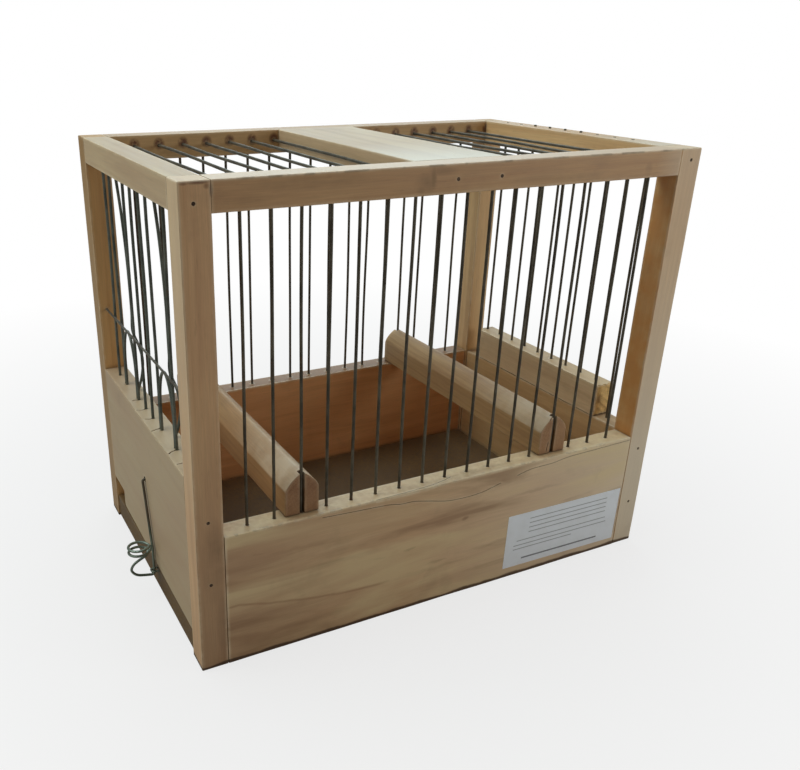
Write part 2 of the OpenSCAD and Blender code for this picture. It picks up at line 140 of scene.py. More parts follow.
# %% Graphs of shader nodes
class Graph:
    """A tree of shader nodes, with short ways to add to it"""

    def __init__(self, tree):
        self.tree = tree
        self.spot = None

    def node(self, kind, inputs=None, **settings):
        """Adds a node. inputs maps a socket's name or number to a Value or to a plain value"""
        made = self.tree.nodes.new("ShaderNode" + kind)
        for name, value in settings.items():
            setattr(made, name, value)
        for name, value in (inputs or {}).items():
            if isinstance(value, Value):
                self.tree.links.new(value.socket, made.inputs[name])
            else:
                made.inputs[name].default_value = value
        return made

    def value(self, kind, inputs=None, out=0, **settings):
        """Adds a node and returns one of the values that it gives out"""
        return Value(self, self.node(kind, inputs, **settings).outputs[out])

    def group(self, inner, inputs=None):
        """Places a node group and returns what it gives out, by name"""
        return {s.name: Value(self, s) for s in self.node("Group", inputs, node_tree=inner).outputs}

    @property
    def here(self):
        """The place of the point that is coloured, in metres"""
        self.spot = self.spot or self.value("TexCoord", out="Object")
        return self.spot

    def millimetres(self, where=None):
        """How far across, back and up a point lies from the frame's front left corner"""
        x, y, z = (self.value("SeparateXYZ", {0: where or self.here}, i) for i in range(3))
        return (x - corner.x) * 1000.0, (y - corner.y) * 1000.0, z * 1000.0

    def lumps(self, scale, detail=3.0, where=None, out="Fac", **more):
        """Soft random lumps. Three scales instead of one make them longer one way than another"""
        where = where or self.here
        if isinstance(scale, tuple):
            where, scale = self.value("Mapping", {"Vector": where, "Scale": scale}), 1.0
        return self.value("TexNoise", {"Vector": where, "Scale": scale, "Detail": detail, **more}, out)

    def ruffle(self, where, lumps, amount):
        """Moves each point a little, its own way, by the colours of random lumps"""
        way = self.value("VectorMath", {0: lumps, 1: (0.5, 0.5, 0.5)}, operation="SUBTRACT")
        shift = self.value("VectorMath", {0: way, "Scale": amount}, operation="SCALE")
        return self.value("VectorMath", {0: where, 1: shift}, operation="ADD")

    def oval(self, across, half_x, up, half_z):
        """0 in the middle of an oval and 1 on its edge"""
        a, b = across / half_x, up / half_z
        return a * a + b * b

    def stains(self, across, up, ovals):
        """Soft oval stains. Each has its middle, half its width, half its height and its strength"""
        return strongest([self.oval(across - x, half_x, up - z, half_z).remap(0.0, 1.0, strong, 0.0)
                          for x, z, half_x, half_z, strong in ovals])

    def mix(self, factor, a, b, how="MIX"):
        """Mixes two colours, each a Value or three numbers of a colour picker"""
        a, b = (colour(*c) if isinstance(c, tuple) else c for c in (a, b))
        return self.value("Mix", {0: factor, 6: a, 7: b}, 2, data_type="RGBA", blend_type=how)

    def shade(self, base, amount):
        """Darkens or lightens a colour by a value"""
        return self.mix(1.0, base, self.value("CombineColor", {i: amount for i in range(3)}), "MULTIPLY")

    def paint(self, base, *marks):
        """Lays marks over a colour, one after another. Each has how strong it is and its colour"""
        for mask, tint in marks:
            base = self.mix(mask, base, tint)
        return base

    def skin(self, base, rough, height, bump, deep, **more):
        """Closes a material with a plain shader. height is its bump, deep metres from low to high"""
        relief = self.value("Bump", {"Strength": bump, "Distance": deep, "Height": height})
        shader = {"Base Color": base, "Roughness": rough, "Normal": relief, **more}
        self.node("OutputMaterial", {"Surface": self.value("BsdfPrincipled", shader)})


def new_material(name):
    """An empty material and its graph"""
    made = bpy.data.materials.new(name)
    made.use_nodes = True
    made.node_tree.nodes.clear()
    return made, Graph(made.node_tree)


print("Steps of a graph:", [name for name in vars(Graph) if not name.startswith("_")])

# %% [markdown]
# The cage stands on white paper that curves up behind it. A big cool light hangs above and another
# stands behind, which lays a pale sheen on every upper face. A small window lights the left end and a
# pale wall the right, and a dim warm light of the room fills the front. The floor glows towards the
# camera alone, more with the distance, so it has no horizon and still keeps the soft shadow.

# %% Floor and world
def new_piece(name, verts, faces):
    """An object from points and faces"""
    mesh = bpy.data.meshes.new(name)
    mesh.from_pydata(verts, [], faces)
    piece = bpy.data.objects.new(name, mesh)
    scene.collection.objects.link(piece)
    return piece


WHITE = (1, 1, 1, 1)
floor_material, g = new_material("white_paper_sweep")
matte = g.value("BsdfDiffuse", {"Color": (0.50, 0.47, 0.44, 1)})
glow = g.value("Emission", {"Color": WHITE, "Strength": 1.0})
away = g.value("VectorMath", {0: g.here}, "Value", operation="LENGTH")
bright = g.value("LightPath", out="Is Camera Ray") * away.remap(0.15, 0.60, 0.76, 1.0)
g.node("OutputMaterial", {"Surface": g.value("MixShader", {0: bright, 1: matte, 2: glow})})

HALF = 6.0
floor = new_piece("floor", [(-HALF, -HALF, 0), (HALF, -HALF, 0), (HALF, HALF, 0), (-HALF, HALF, 0)],
                  [(0, 1, 2, 3)])
floor.data.materials.append(floor_material)

world = bpy.data.worlds.new("studio")
world.use_nodes = True
world.node_tree.nodes.clear()
scene.world = world
g = Graph(world.node_tree)
room = g.value("Background", {"Color": (1.0, 0.88, 0.79, 1), "Strength": 0.145})
white = g.value("Background", {"Color": WHITE, "Strength": 1.0})
seen = g.value("LightPath", out="Is Camera Ray")
g.node("OutputWorld", {"Surface": g.value("MixShader", {0: seen, 1: room, 2: white})})
scene.view_settings.view_transform = "Standard"
print("Floor:", 2 * HALF, "m wide")


# %% Lights
def softbox(name, place_at, aim, size, watts, tint):
    """A square area light that looks at a point"""
    data = bpy.data.lights.new(name, "AREA")
    data.size = size
    data.energy = watts
    data.color = tint
    lamp = bpy.data.objects.new(name, data)
    lamp.location = place_at
    lamp.rotation_euler = (Vector(aim) - Vector(place_at)).to_track_quat("-Z", "Y").to_euler()
    scene.collection.objects.link(lamp)


softbox("sky_above", (-0.2, 0.5, 1.7), (0, 0, 0.1), 1.5, 17.5, (0.76, 0.96, 1.08))
softbox("window_behind", (0.75, 1.5, 0.85), (0, 0, 0.15), 1.2, 9, (0.76, 0.96, 1.06))
softbox("window_left", (-1.1, 0.15, 1.05), (0, 0, 0.15), 0.7, 7.2, (0.89, 1.0, 0.97))
softbox("wall_right", (0.56, -0.52, 0.36), (0.08, 0, 0.12), 0.36, 1.5, (0.95, 1.0, 0.98))

# %% [markdown]
# Pine shows growth rings. They are shells round the pith of the tree, so one rule in three
# dimensions serves every face: far from the pith the shells cross a board's face as long lines and
# arches, and on a sawn end they are arcs. Each piece stores where it lay in its tree in an attribute
# called grain, whose first number runs along the fibres. A group turns that into masks that all the
# woods share.

# %% Node group for wood figure
def group(name, inputs, outputs):
    """A shader node group with named inputs. Returns its graph, its inputs, and a function that gives
    out values by name"""
    tree = bpy.data.node_groups.new(name, "ShaderNodeTree")
    for label, kind, value in inputs:
        socket = tree.interface.new_socket(name=label, in_out="INPUT", socket_type="NodeSocket" + kind)
        if value is not None:
            socket.default_value = value
    for label in outputs:
        tree.interface.new_socket(name=label, in_out="OUTPUT", socket_type="NodeSocketFloat")
    start = tree.nodes.new("NodeGroupInput")
    end = tree.nodes.new("NodeGroupOutput")
    graph = Graph(tree)

    def give(**values):
        for label, value in values.items():
            tree.links.new(value.socket, end.inputs[label])

    return graph, {label: Value(graph, start.outputs[label]) for label, _, _ in inputs}, give


g, given, give = group("wood_figure", [("Grain", "Vector", None), ("Ring Gap", "Float", 0.003),
                                       ("Wander", "Float", 0.004), ("Fibre Width", "Float", 0.0006)],
                       ["Rings", "Fibres", "Clouds", "Bands", "Flecks"])
wood_figure = g.tree
grain = given["Grain"]
wander = g.lumps((7, 26, 26), where=grain, out="Color", Roughness=0.55)
bent = g.ruffle(grain, wander, given["Wander"])
y, z = (g.value("SeparateXYZ", {0: bent}, i) for i in (1, 2))
age = (y * y + z * z).calc("SQRT") / given["Ring Gap"]
year = age.calc("FRACT")
rise = year.remap(0.20, 0.84, interpolation_type="SMOOTHSTEP")
fall = year.remap(0.86, 1.0, 1.0, 0.0, interpolation_type="SMOOTHSTEP")
strength = g.value("TexWhiteNoise", {"W": age.calc("FLOOR")}, "Value", noise_dimensions="1D")
fade = g.lumps((11, 60, 60), 2.0, grain, Roughness=0.55)
fibre_scale = g.value("Math", {0: 1.0, 1: given["Fibre Width"]}, operation="DIVIDE")
along = g.value("Mapping", {"Vector": grain, "Scale": (0.035, 1, 1)})
give(Rings=rise * fall * strength.remap(0, 1, 0.15, 1.0) * fade.remap(0.36, 0.62, 0.15, 1.0),
     Fibres=g.lumps(fibre_scale, 4.0, along, Roughness=0.6).remap(0.3, 0.7),
     Clouds=g.lumps((12, 40, 40), 4.0, grain, Roughness=0.5).remap(0.34, 0.66),
     Bands=g.lumps((9, 150, 150), 3.0, bent, Roughness=0.45).remap(0.44, 0.76),
     Flecks=g.lumps((120, 900, 900), 2.0, grain, Roughness=0.55).remap(0.64, 0.78))
print("Group:", wood_figure.name, [s.name for s in wood_figure.interface.items_tree])

# %% [markdown]
# Use leaves marks on every piece of wood. Its sharp edges are rubbed, so clean pale wood shows
# there. Its closed corners are painted brown, as shade, and its foot is painted darker, as a contact
# shadow on the floor. Rays that start inside a solid and soon leave it tell where an edge is, and
# rays that start outside and soon hit something tell where a corner is, which is what the ambient
# occlusion node measures.

# %% Node groups for edge wear, and for smudges and painted shade
g, given, give = group("edge_wear", [("Reach", "Float", 0.0018)], ["Edge"])
edge_wear = g.tree
thin = g.value("AmbientOcclusion", {"Distance": given["Reach"]}, "AO", samples=8, inside=True,
               only_local=True)
give(Edge=thin.remap(0.62, 0.98, 1.0, 0.0) * g.lumps(160.0).remap(0.32, 0.60, 0.25, 1.0))

g, given, give = group("dust_and_dirt", [("Reach", "Float", 0.0035), ("Foot Height", "Float", 0.0026)],
                       ["Corner", "Foot", "Smudge"])
dust_and_dirt = g.tree
closed = g.value("AmbientOcclusion", {"Distance": given["Reach"]}, "AO", samples=8)
ragged = given["Foot Height"] * g.lumps(55.0, 4.0).remap(0.3, 0.7, 0.75, 1.35)
# Corner is painted shade in closed corners and Foot a painted contact shadow near the floor. Smudge is dirt.
give(Corner=closed.remap(0.25, 0.85, 1.0, 0.0),
     Foot=(g.value("SeparateXYZ", {0: g.here}, 2) / ragged).remap(0.70, 1.0, 1.0, 0.0),
     Smudge=g.lumps(38.0, 5.0, Roughness=0.62).remap(0.58, 0.74))
print("Groups:", edge_wear.name, dust_and_dirt.name)

# %% [markdown]
# The cage is of cheap, dry pine that has only been planed. The early wood is a warm cream, the late
# wood of the rings a little browner, and broad soft bands of pinkish brown run along each board. The
# long fibres are also a very fine bump.

# %% Pine
def pine(name, early, late, tint, band, rings=0.5, ring_gap=0.0032, wander=0.006, rough=0.52,
         bump=0.3, dirt=0.7, fibre=0.10, edge=0.7, bands=0.5, marks=None):
    """A planed softwood. tint is the colour of its soft patches and band that of its long bands.
    marks, if given, adds more to the colour and returns it"""
    made, g = new_material(name)
    grain, tone = (g.value("Attribute", out="Vector", attribute_name=label) for label in ("grain", "tone"))
    figure = g.group(wood_figure, {"Grain": grain, "Ring Gap": ring_gap, "Wander": wander})
    wear, smudge_and_shade = g.group(edge_wear), g.group(dust_and_dirt)
    base = g.paint(early, (figure["Rings"] * rings, late), (figure["Clouds"] * 0.6, tint),
                   (figure["Bands"] * bands, band))
    base = g.shade(base, figure["Fibres"].remap(0, 1, 1 - fibre, 1 + fibre * 0.5))
    base = g.mix(figure["Flecks"] * 0.18, base, (112, 78, 48))
    base = g.mix(1.0, base, tone, "MULTIPLY")
    if marks:
        base = marks(g, base)
    # Smudges are dirt. The corner mark is painted shade and the foot mark a painted contact shadow.
    base = g.paint(base, (smudge_and_shade["Smudge"] * 0.16, (118, 96, 74)), (wear["Edge"] * edge, (236, 216, 182)),
                   (smudge_and_shade["Corner"] * dirt, (84, 56, 34)), (smudge_and_shade["Foot"] * 0.9, (78, 54, 34)))
    g.skin(base, figure["Fibres"].remap(0, 1, rough - 0.05, rough + 0.08),
           figure["Fibres"] + figure["Rings"] * -0.5, bump, 0.00012)
    return made


door_pine = pine("door_pine", (230, 200, 156), (206, 168, 122), (218, 182, 140), (198, 158, 118), 0.4,
                 ring_gap=0.0034)
# A deeper orange copy of the pine for faces inside the cage: painted shade.
inner_pine = pine("inner_pine", (232, 180, 124), (206, 150, 92), (218, 160, 104), (192, 134, 84), 0.4,
                  ring_gap=0.0050, wander=0.012)
end_pine = pine("end_pine", (190, 150, 112), (156, 112, 78), (174, 130, 98), (148, 108, 80), 0.55,
                ring_gap=0.0024, rough=0.72, bump=0.8, fibre=0.22, edge=0.15)
sawn_pine = pine("sawn_pine", (246, 208, 138), (128, 84, 40), (216, 166, 96), (118, 80, 42), 0.8,
                 ring_gap=0.0034, rough=0.75, bump=1.0, dirt=0.8, fibre=0.35, bands=0.8)
left_pine = pine("left_board_pine", (206, 184, 148), (192, 162, 128), (200, 168, 138), (186, 150, 118), 0.3,
                 ring_gap=0.0060, wander=0.014, fibre=0.05, edge=0.2, bands=0.3)
# A deeper orange copy for the inside of the right end board: painted shade.
right_inner_pine = pine("right_inner_pine", (224, 186, 132), (200, 154, 100), (212, 168, 116),
                        (186, 138, 92), 0.4, ring_gap=0.0050, wander=0.012)
print("Plain woods:", [m.name for m in bpy.data.materials if "pine" in m.name])

# %% [markdown]
# The posts and rails carry marks of their own. Glue has run brown over the front left joint, rust has
# stained the rail round each wire behind, and hands have left smears. A pale painted sheen lies on the
# tops. Painted light falls on the right post and high on the left post's left face, and painted shade
# on the back left post, on the inner face of the right front post, and low on the front at the left.
# Each mark is a soft shape measured in millimetres on the cage, so it stays on the same place of the
# wood from every side.

# %% Marks of the frame
POST, BAR_GAP = 14.0, 14.3333
GLUE = [(14.0, 236.0, 1.0, 3.4, 1.0), (9.0, 239.2, 6.5, 1.0, 0.9), (2.6, 239.0, 2.2, 0.9, 0.7),
        (12.2, 237.6, 1.6, 1.5, 0.6)]
SMEARS = [(9, 62, 7, 26, 0.55), (12, 26, 3.5, 24, 0.45), (115, 232, 7, 5.5, 0.45), (119, 234, 2.0, 6, 0.6),
          (113, 230, 3.4, 3.4, 0.5), (124, 237, 9, 2.4, 0.35), (250, 231, 3, 4, 0.3), (60, 236, 34, 4, 0.3),
          (30, 231, 12, 3.0, 0.25), (190, 230, 30, 3.0, 0.2)]


def frame_marks(g, base):
    """Glue, rust, smears and a torn edge on the posts and rails, with painted light, shade and sheen"""
    across, back, up = g.millimetres()
    cloud = g.lumps(90.0)
    front = back.remap(0.5, 1.5, 1.0, 0.0)
    left_face = across.remap(0.4, 1.2, 1.0, 0.0)
    high_up = up.remap(239.2, 239.7)
    from_wire = (((across - POST) / BAR_GAP + 0.5).calc("FRACT") - 0.5) * BAR_GAP
    rust = (g.oval(from_wire, 3.6, up - 235.0, 3.8).remap(0.15, 1.0, 1.0, 0.0)
            * g.lumps(420.0).remap(0.25, 0.5)
            * back.remap(165.0, 165.8) * back.remap(166.6, 166.8, 1.0, 0.0))
    smear = g.stains(across, up, SMEARS) * front * cloud.remap(0.3, 0.62, 0.3, 1.0)
    # Painted shade: the front at the left end grows darker towards the bottom.
    foot = up.remap(20.0, 150.0, 0.50, 0.0) * front * across.remap(30.0, 60.0, 1.0, 0.0)
    # Painted light: the front grows paler towards the right post, most of all low down.
    right_post = across.remap(255.0, 272.0, 0.0, 0.75) * up.remap(60.0, 190.0, 1.0, 0.4) * front
    # Painted shade: a deeper orange on the inner face of the front right post.
    right_inside_shade = (across.remap(271.4, 271.8) * across.remap(272.2, 272.6, 1.0, 0.0)
                    * back.remap(13.6, 14.4, 1.0, 0.0) * cloud.remap(0.35, 0.6, 0.35, 0.8))
    # Painted light high on the left face of the left post.
    left_post = left_face * back.remap(13.6, 14.0, 1.0, 0.0) * up.remap(80.0, 220.0, 0.0, 0.35)
    # Painted shade on the left face of the back left post.
    back_post_shade = left_face * back.remap(166.0, 166.4, 0.0, 0.75)
    # A painted sheen on the top faces behind the front rail, most of all the centre board.
    top_board_sheen = (high_up * back.remap(14.2, 80.0, 0.55, 0.0) * back.remap(14.1, 14.2)
                 * across.remap(90.0, 100.0))
    # A painted sheen on the tops of the front rail and the front posts.
    front_top = high_up * back.remap(13.9, 14.1, 0.62, 0.0)
    torn_edge = up.remap(238.9, 239.3) * back.remap(0.9, 1.5, 0.55, 0.0) * cloud.remap(0.52, 0.60)
    return g.paint(base, (strongest([g.stains(across, up, GLUE) * front, rust]), (108, 62, 32)),
                   (smear, (122, 94, 62)), (foot, (138, 108, 82)), (right_post, (228, 216, 194)),
                   (right_inside_shade, (208, 140, 72)), (left_post, (228, 214, 180)), (back_post_shade, (148, 112, 66)),
                   (top_board_sheen, (246, 240, 224)), (front_top, (238, 216, 190)), (torn_edge, (112, 88, 62)))


frame_pine = pine("frame_pine", (222, 184, 138), (196, 150, 104), (206, 164, 124), (184, 138, 102), 0.5,
                  dirt=0.45, edge=0.4, marks=frame_marks)
# A deeper orange copy of the frame's pine for faces inside the cage: painted shade.
inner_frame_pine = pine("inner_frame_pine", (228, 188, 134), (202, 152, 96), (214, 170, 116),
                        (188, 136, 88), 0.5, dirt=0.5, edge=0.4, marks=frame_marks)
# The post tops take a paler end grain than the other ends: painted light on the top faces.
lit_top_pine = pine("post_top_pine", (222, 192, 150), (190, 148, 106), (206, 168, 130), (180, 140, 106), 0.6,
                ring_gap=0.0022, rough=0.66, bump=0.6, fibre=0.15, marks=frame_marks)
print("Frame marks:", len(GLUE) + len(SMEARS), "stains")

# %% [markdown]
# A perch's two sloping faces are painted paler, most of all near the front: painted light where the
# perch is lit and the centre board's shade does not reach.

# %% Wood of the perches
SLOPE_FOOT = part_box("left_perch")[0].z / MM + 13.6


def perch_light(g, base):
    """Painted light on the sloping faces of a perch, strongest near the front"""
    _, back, up = g.millimetres()
    pale = (up - SLOPE_FOOT).remap(-0.4, 0.5) * back.remap(15.0, 80.0, 0.5, 0.0)
    return g.mix(pale * g.lumps(130.0).remap(0.35, 0.6, 0.6, 1.0), base, (226, 210, 182))


perch_pine = pine("perch_pine", (214, 180, 134), (176, 136, 92), (200, 162, 124), (172, 132, 98), 0.6,
                  ring_gap=0.0026, fibre=0.16, edge=0.15, marks=perch_light)
print("The slopes start", round(SLOPE_FOOT, 1), "mm above the floor")

# %% [markdown]
# Real strips of pine are never dead straight, and their sharp edges, or arrises, are broken by hand
# with a few strokes of sandpaper. A strip is therefore lofted: a rectangle with four rounded corners
# is drawn at many places along the fibres, and each corner's radius wanders a little from one place
# to the next.

# %% Loft of a wooden strip
AXES = {"x": (0, 1, 2), "y": (1, 0, 2), "z": (2, 0, 1)}


def smooth(x, channel, seed):
    """A smooth number from -1 to 1 that wanders along x"""
    return noise.noise(Vector((x, channel * 7.31 + 0.37, seed * 3.77 + 0.11)))


def seed_of(name):
    """A fixed number for a name, the same in every run"""
    return sum((i + 1) * ord(c) for i, c in enumerate(name)) % 997 / 10


def section(a0, a1, b0, b1, radii, steps=3):
    """Points round a rectangle with rounded corners"""
    points = []
    for (a, b, start), r in zip(((a1, b1, 0), (a0, b1, 90), (a0, b0, 180), (a1, b0, 270)), radii):
        ca = a - r if a == a1 else a + r
        cb = b - r if b == b1 else b + r
        for i in range(steps + 1):
            t = math.radians(start + 90 * i / steps)
            points.append((ca + r * math.cos(t), cb + r * math.sin(t)))
    return points


def loft(name, rings):
    """A closed mesh through rings of points, with a face over each end"""
    n = len(rings[0])
    faces = [(i * n + j, i * n + (j + 1) % n, (i + 1) * n + (j + 1) % n, (i + 1) * n + j)
             for i in range(len(rings) - 1) for j in range(n)]
    caps = [tuple(reversed(range(n))), tuple(range((len(rings) - 1) * n, len(rings) * n))]
    piece = new_piece(name, [p for ring in rings for p in ring], faces + caps)
    shape = bmesh.new()
    shape.from_mesh(piece.data)
    bmesh.ops.recalc_face_normals(shape, faces=shape.faces)
    shape.to_mesh(piece.data)
    shape.free()
    return piece


def stations(first, last, arris, count):
    """Places along a strip where its section is drawn, closer together at its two rounded ends"""
    quarter = [arris * (1 - math.cos(math.radians(t))) for t in (0, 30, 60, 90)]
    middle = [first + arris + (last - first - 2 * arris) * i / count for i in range(1, count)]
    return [first + q for q in quarter] + middle + [last - q for q in reversed(quarter)]


def end_inset(spot, first, last, arris):
    """How far the sides move in at a place near a rounded end"""
    end = min(spot - first, last - spot, arris)
    return arris - math.sqrt(max(arris * arris - (arris - end) ** 2, 0))


def strip(name, low, high, along, arris=0.5, bounds=None, end_arris=0.35, shrink=0.0, extra=()):
    """A lofted strip of wood between two corners, its fibres along one axis.

    bounds, if given, is a function of the place along the strip, as a share, that returns how far each
    of the four sides moves in, in millimetres. extra is more places, as shares, where it is drawn."""
    axis, ia, ib = AXES[along]
    seed = seed_of(name)
    first, last = low[axis] + shrink * MM, high[axis] - shrink * MM
    length = last - first
    e = end_arris * MM
    spots = stations(first, last, e, max(6, int(length / 0.008)))
    rings = []
    for spot in sorted(spots + [first + length * share for share in extra]):
        inset = end_inset(spot, first, last, e)
        radii = [max(arris * (1 + 0.7 * smooth(spot * 45, c, seed)), 0.12) * MM for c in range(4)]
        more = bounds((spot - first) / length) if bounds else (0, 0, 0, 0)
        into = [abs(0.06 * MM * smooth(spot * 18, 5 + c, seed) + inset) + more[c] * MM for c in range(4)]
        sides = (low[ia] + into[0], high[ia] - into[1], low[ib] + into[2], high[ib] - into[3])
        ring = []
        for a, b in section(*sides, radii):
            p = [0, 0, 0]
            p[axis], p[ia], p[ib] = spot, a, b
            ring.append(p)
        rings.append(ring)
    return loft(name, rings)


print("Shares of a rounded end:", [round(v, 3) for v in stations(0, 4, 1, 2)[:4]])

# %% [markdown]
# Wires, hoops and round cutters are a circle swept along a line. The circle is carried from point to
# point without twisting. Holes and grooves are then cut with the boolean modifier, so they are real
# holes in the mesh, and the cutter is thrown away.

# %% Sweeps and cuts
def tube(name, paths, radius, sides=14):
    """Round wires along lists of points, in one mesh"""
    verts, faces = [], []
    for path in paths:
        path = [Vector(p) for p in path]
        first = len(verts)
        normal = None
        for i, p in enumerate(path):
            d = (path[min(i + 1, len(path) - 1)] - path[max(i - 1, 0)]).normalized()
            if normal is None:
                normal = d.orthogonal().normalized()
            normal = (normal - d * normal.dot(d)).normalized()
            other = d.cross(normal)
            for j in range(sides):
                t = 2 * math.pi * j / sides
                verts.append(p + radius * (math.cos(t) * normal + math.sin(t) * other))
        for i in range(len(path) - 1):
            for j in range(sides):
                a, b = first + i * sides + j, first + i * sides + (j + 1) % sides
                faces.append((a, b, b + sides, a + sides))
        last = first + (len(path) - 1) * sides
        faces.append(tuple(reversed(range(first, first + sides))))
        faces.append(tuple(range(last, last + sides)))
    return new_piece(name, [tuple(v) for v in verts], faces)


def cut(piece, cutter):
    """Takes one mesh out of another and throws the cutter away"""
    tool = piece.modifiers.new("cut", "BOOLEAN")
    tool.operation = "DIFFERENCE"
    tool.solver = "EXACT"
    tool.object = cutter
    bpy.context.view_layer.update()
    result = bpy.data.meshes.new_from_object(piece.evaluated_get(bpy.context.evaluated_depsgraph_get()))
    piece.modifiers.clear()
    piece.data = result
    bpy.data.objects.remove(cutter)


HOLE_R = 0.98 * MM


def drill(piece, spots, axis, start, end, radius=HOLE_R):
    """Drills round holes along one axis, from start to end"""
    paths = []
    for spot in spots:
        a, b = list(spot), list(spot)
        a[axis], b[axis] = start, end
        paths.append([a, b])
    cut(piece, tube("drill", paths, radius, 20))


def curve_through(points, steps=10):
    """A smooth curve through points (Catmull-Rom)"""
    p = [Vector(q) for q in points]
    out = []
    for i in range(len(p) - 1):
        a, b, c, d = p[max(i - 1, 0)], p[i], p[i + 1], p[min(i + 2, len(p) - 1)]
        for s in range(steps):
            t = s / steps
            out.append(0.5 * (2 * b + (c - a) * t + (2 * a - 5 * b + 4 * c - d) * t ** 2
                              + (3 * b - a - 3 * c + d) * t ** 3))
    return out + [p[-1]]


def split(piece, points, width, depth, axis, level):
    """Cuts a groove along points in millimetres, with a thread that is stretched to a depth across the
    face at a level"""
    thread = tube("thread", [curve_through([at(*p) for p in points], 6)], width / 2 * MM, 8)
    for v in thread.data.vertices:
        v.co[axis] = level + (v.co[axis] - level) * depth / (width / 2)
    cut(piece, thread)


print("Holes for the wires:", round(2 * HOLE_R / MM, 2), "mm wide")

# %% [markdown]
# No two strips of pine have quite the same tone, so each piece stores its own beside its grain. Faces
# across the fibres are ends, which soak up dirt, and faces that look into the cage take a deeper
# orange copy of the pine, a painted warm shade for the inside of the cage.

# %% Finishing a wooden piece
TONES = {
    "front_top_rail": (0.79, 0.71, 0.64), "left_top_rail": (0.85, 0.95, 1.04),
    "back_top_rail": (0.84, 0.84, 0.82), "front_left_post": (0.96, 0.90, 0.87),
    "front_right_post": (1.0, 0.95, 0.88), "back_left_post": (0.90, 0.80, 0.66),
    "top_centre_board": (0.85, 0.93, 1.0), "front_board": (1.08, 1.08, 1.10),
    "left_end_board": (0.81, 0.76, 0.71), "back_board": (1.05, 1.00, 1.04),
    "right_end_board": (0.94, 0.94, 0.95), "door_bar": (0.98, 0.98, 0.98),
    "left_perch": (0.72, 0.64, 0.56), "right_perch": (0.80, 0.74, 0.66)}


def store(piece, name, values):
    """Stores three numbers for each point of a piece, which a material can read by name"""
    field = piece.data.attributes.new(name, "FLOAT_VECTOR", "POINT")
    field.data.foreach_set("vector", values)


def round_faces(piece, angle):
    """Smooth shading, sharp only where two faces meet at more than the angle"""
    piece.data.shade_smooth()
    piece.data.set_sharp_from_angle(angle=math.radians(angle))
    tool = piece.modifiers.new("level_faces", "WEIGHTED_NORMAL")
    tool.keep_sharp = True
    tool.weight = 80


def finish(piece, node, body, slot, angle, *materials):
    """Gives a piece its materials, its shading and its place in the model"""
    piece.data.materials.clear()
    for material in materials:
        piece.data.materials.append(material)
    round_faces(piece, angle)
    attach(piece, body)
    if node:
        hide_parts(node)


def finish_wood(piece, node, along, outer, ends, inner=None, body="frame"):
    """Lays the grain in a wooden piece, sorts its faces by material and finishes it"""
    axis, ia, ib = AXES[along]
    seed = seed_of(piece.name)
    pith = (0.030 + 0.020 * smooth(1.3, 1, seed), -0.055 + 0.02 * smooth(2.1, 2, seed))
    tilt = (0.03 * smooth(3.7, 3, seed), 0.03 * smooth(4.9, 4, seed))
    values = []
    for v in piece.data.vertices:
        l = v.co[axis]
        values += [l + seed, v.co[ia] - pith[0] + tilt[0] * l, v.co[ib] - pith[1] + tilt[1] * l]
    store(piece, "grain", values)
    store(piece, "tone", list(TONES.get(node, (1, 1, 1))) * len(piece.data.vertices))
    finish(piece, node, body, "pine", 38, outer, ends, *([inner] if inner else []))
    for face in piece.data.polygons:
        face.material_index = 1 if abs(face.normal[axis]) > 0.8 else 0
        into = max(-face.normal[i] * math.copysign(1, face.center[i]) for i in (0, 1))
        if inner and face.material_index == 0 and into > 0.8:
            face.material_index = 2


print("Tones:", len(TONES))

# %% [markdown]
# Wires and nails sit in drilled holes. Each hole is a little wider than its wire, so a thin dark ring
# shows round every foot, as on the cage. The packed model says where the wires stand.

# %% Places of the wires
WIRE_R = 0.8
R = WIRE_R * MM
SIDE_WIRES, END_PLACES = 17, 10
FEEDERS = (3, 8)
FOOT_HOLE, SHORT_HOLE, HEAD_HOLE = 10.2 * MM, 6.2 * MM, 5.2 * MM


def spread(node, axis, count):
    """The places of evenly spread wires of one node along an axis"""
    low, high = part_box(node)
    first, last = low[axis] + WIRE_R * MM, high[axis] - WIRE_R * MM
    return [first + (last - first) * i / (count - 1) for i in range(count)]


def middle_of(node, axis):
    """The middle of a node along an axis"""
    low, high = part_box(node)
    return (low[axis] + high[axis]) / 2


side_x = spread("front_wires", 0, SIDE_WIRES)
end_y = spread("left_end_wires", 1, END_PLACES)
door_y = end_y[1:]
straight = [y for i, y in enumerate(end_y, 1) if i not in FEEDERS]
end_x = middle_of("left_end_wires", 0)
door_x = middle_of("door_wires", 0)
rail_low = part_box("front_top_rail")[0].z
board_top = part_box("front_board")[1].z
left_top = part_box("left_end_board")[1].z
print("Wire gap:", round((side_x[1] - side_x[0]) / MM, 2), "mm, end gap:",
      round((end_y[1] - end_y[0]) / MM, 2), "mm")

# %% [markdown]
# Brads hold the boards to the posts and the top board to its rails. Each was punched a little below
# the surface, so each sits in a small round pit with a dark rim. The packed model says where the heads
# are, and the pits are cut there in the wood.

# %% Places of the nails
PIT_R, PIT_DEEP = 0.9 * MM, 0.45 * MM


def nail_spots(node, out):
    """Where the nails of a node enter, as points on the outer face"""
    points = [v.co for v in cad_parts[node].data.vertices]
    y = max(out * p.y for p in points) * out
    rim = [p for p in points if abs(p.y - y) < 1e-5]
    spots = []
    while rim:
        near = [p for p in rim if math.dist(p.xz, rim[0].xz) < 0.003]
        rim = [p for p in rim if p not in near]
        x, z = ((min(p[i] for p in near) + max(p[i] for p in near)) / 2 for i in (0, 2))
        spots.append((x, y, z))
    return spots


front_nails = nail_spots("front_nails", -1)
back_nails = nail_spots("back_nails", 1)


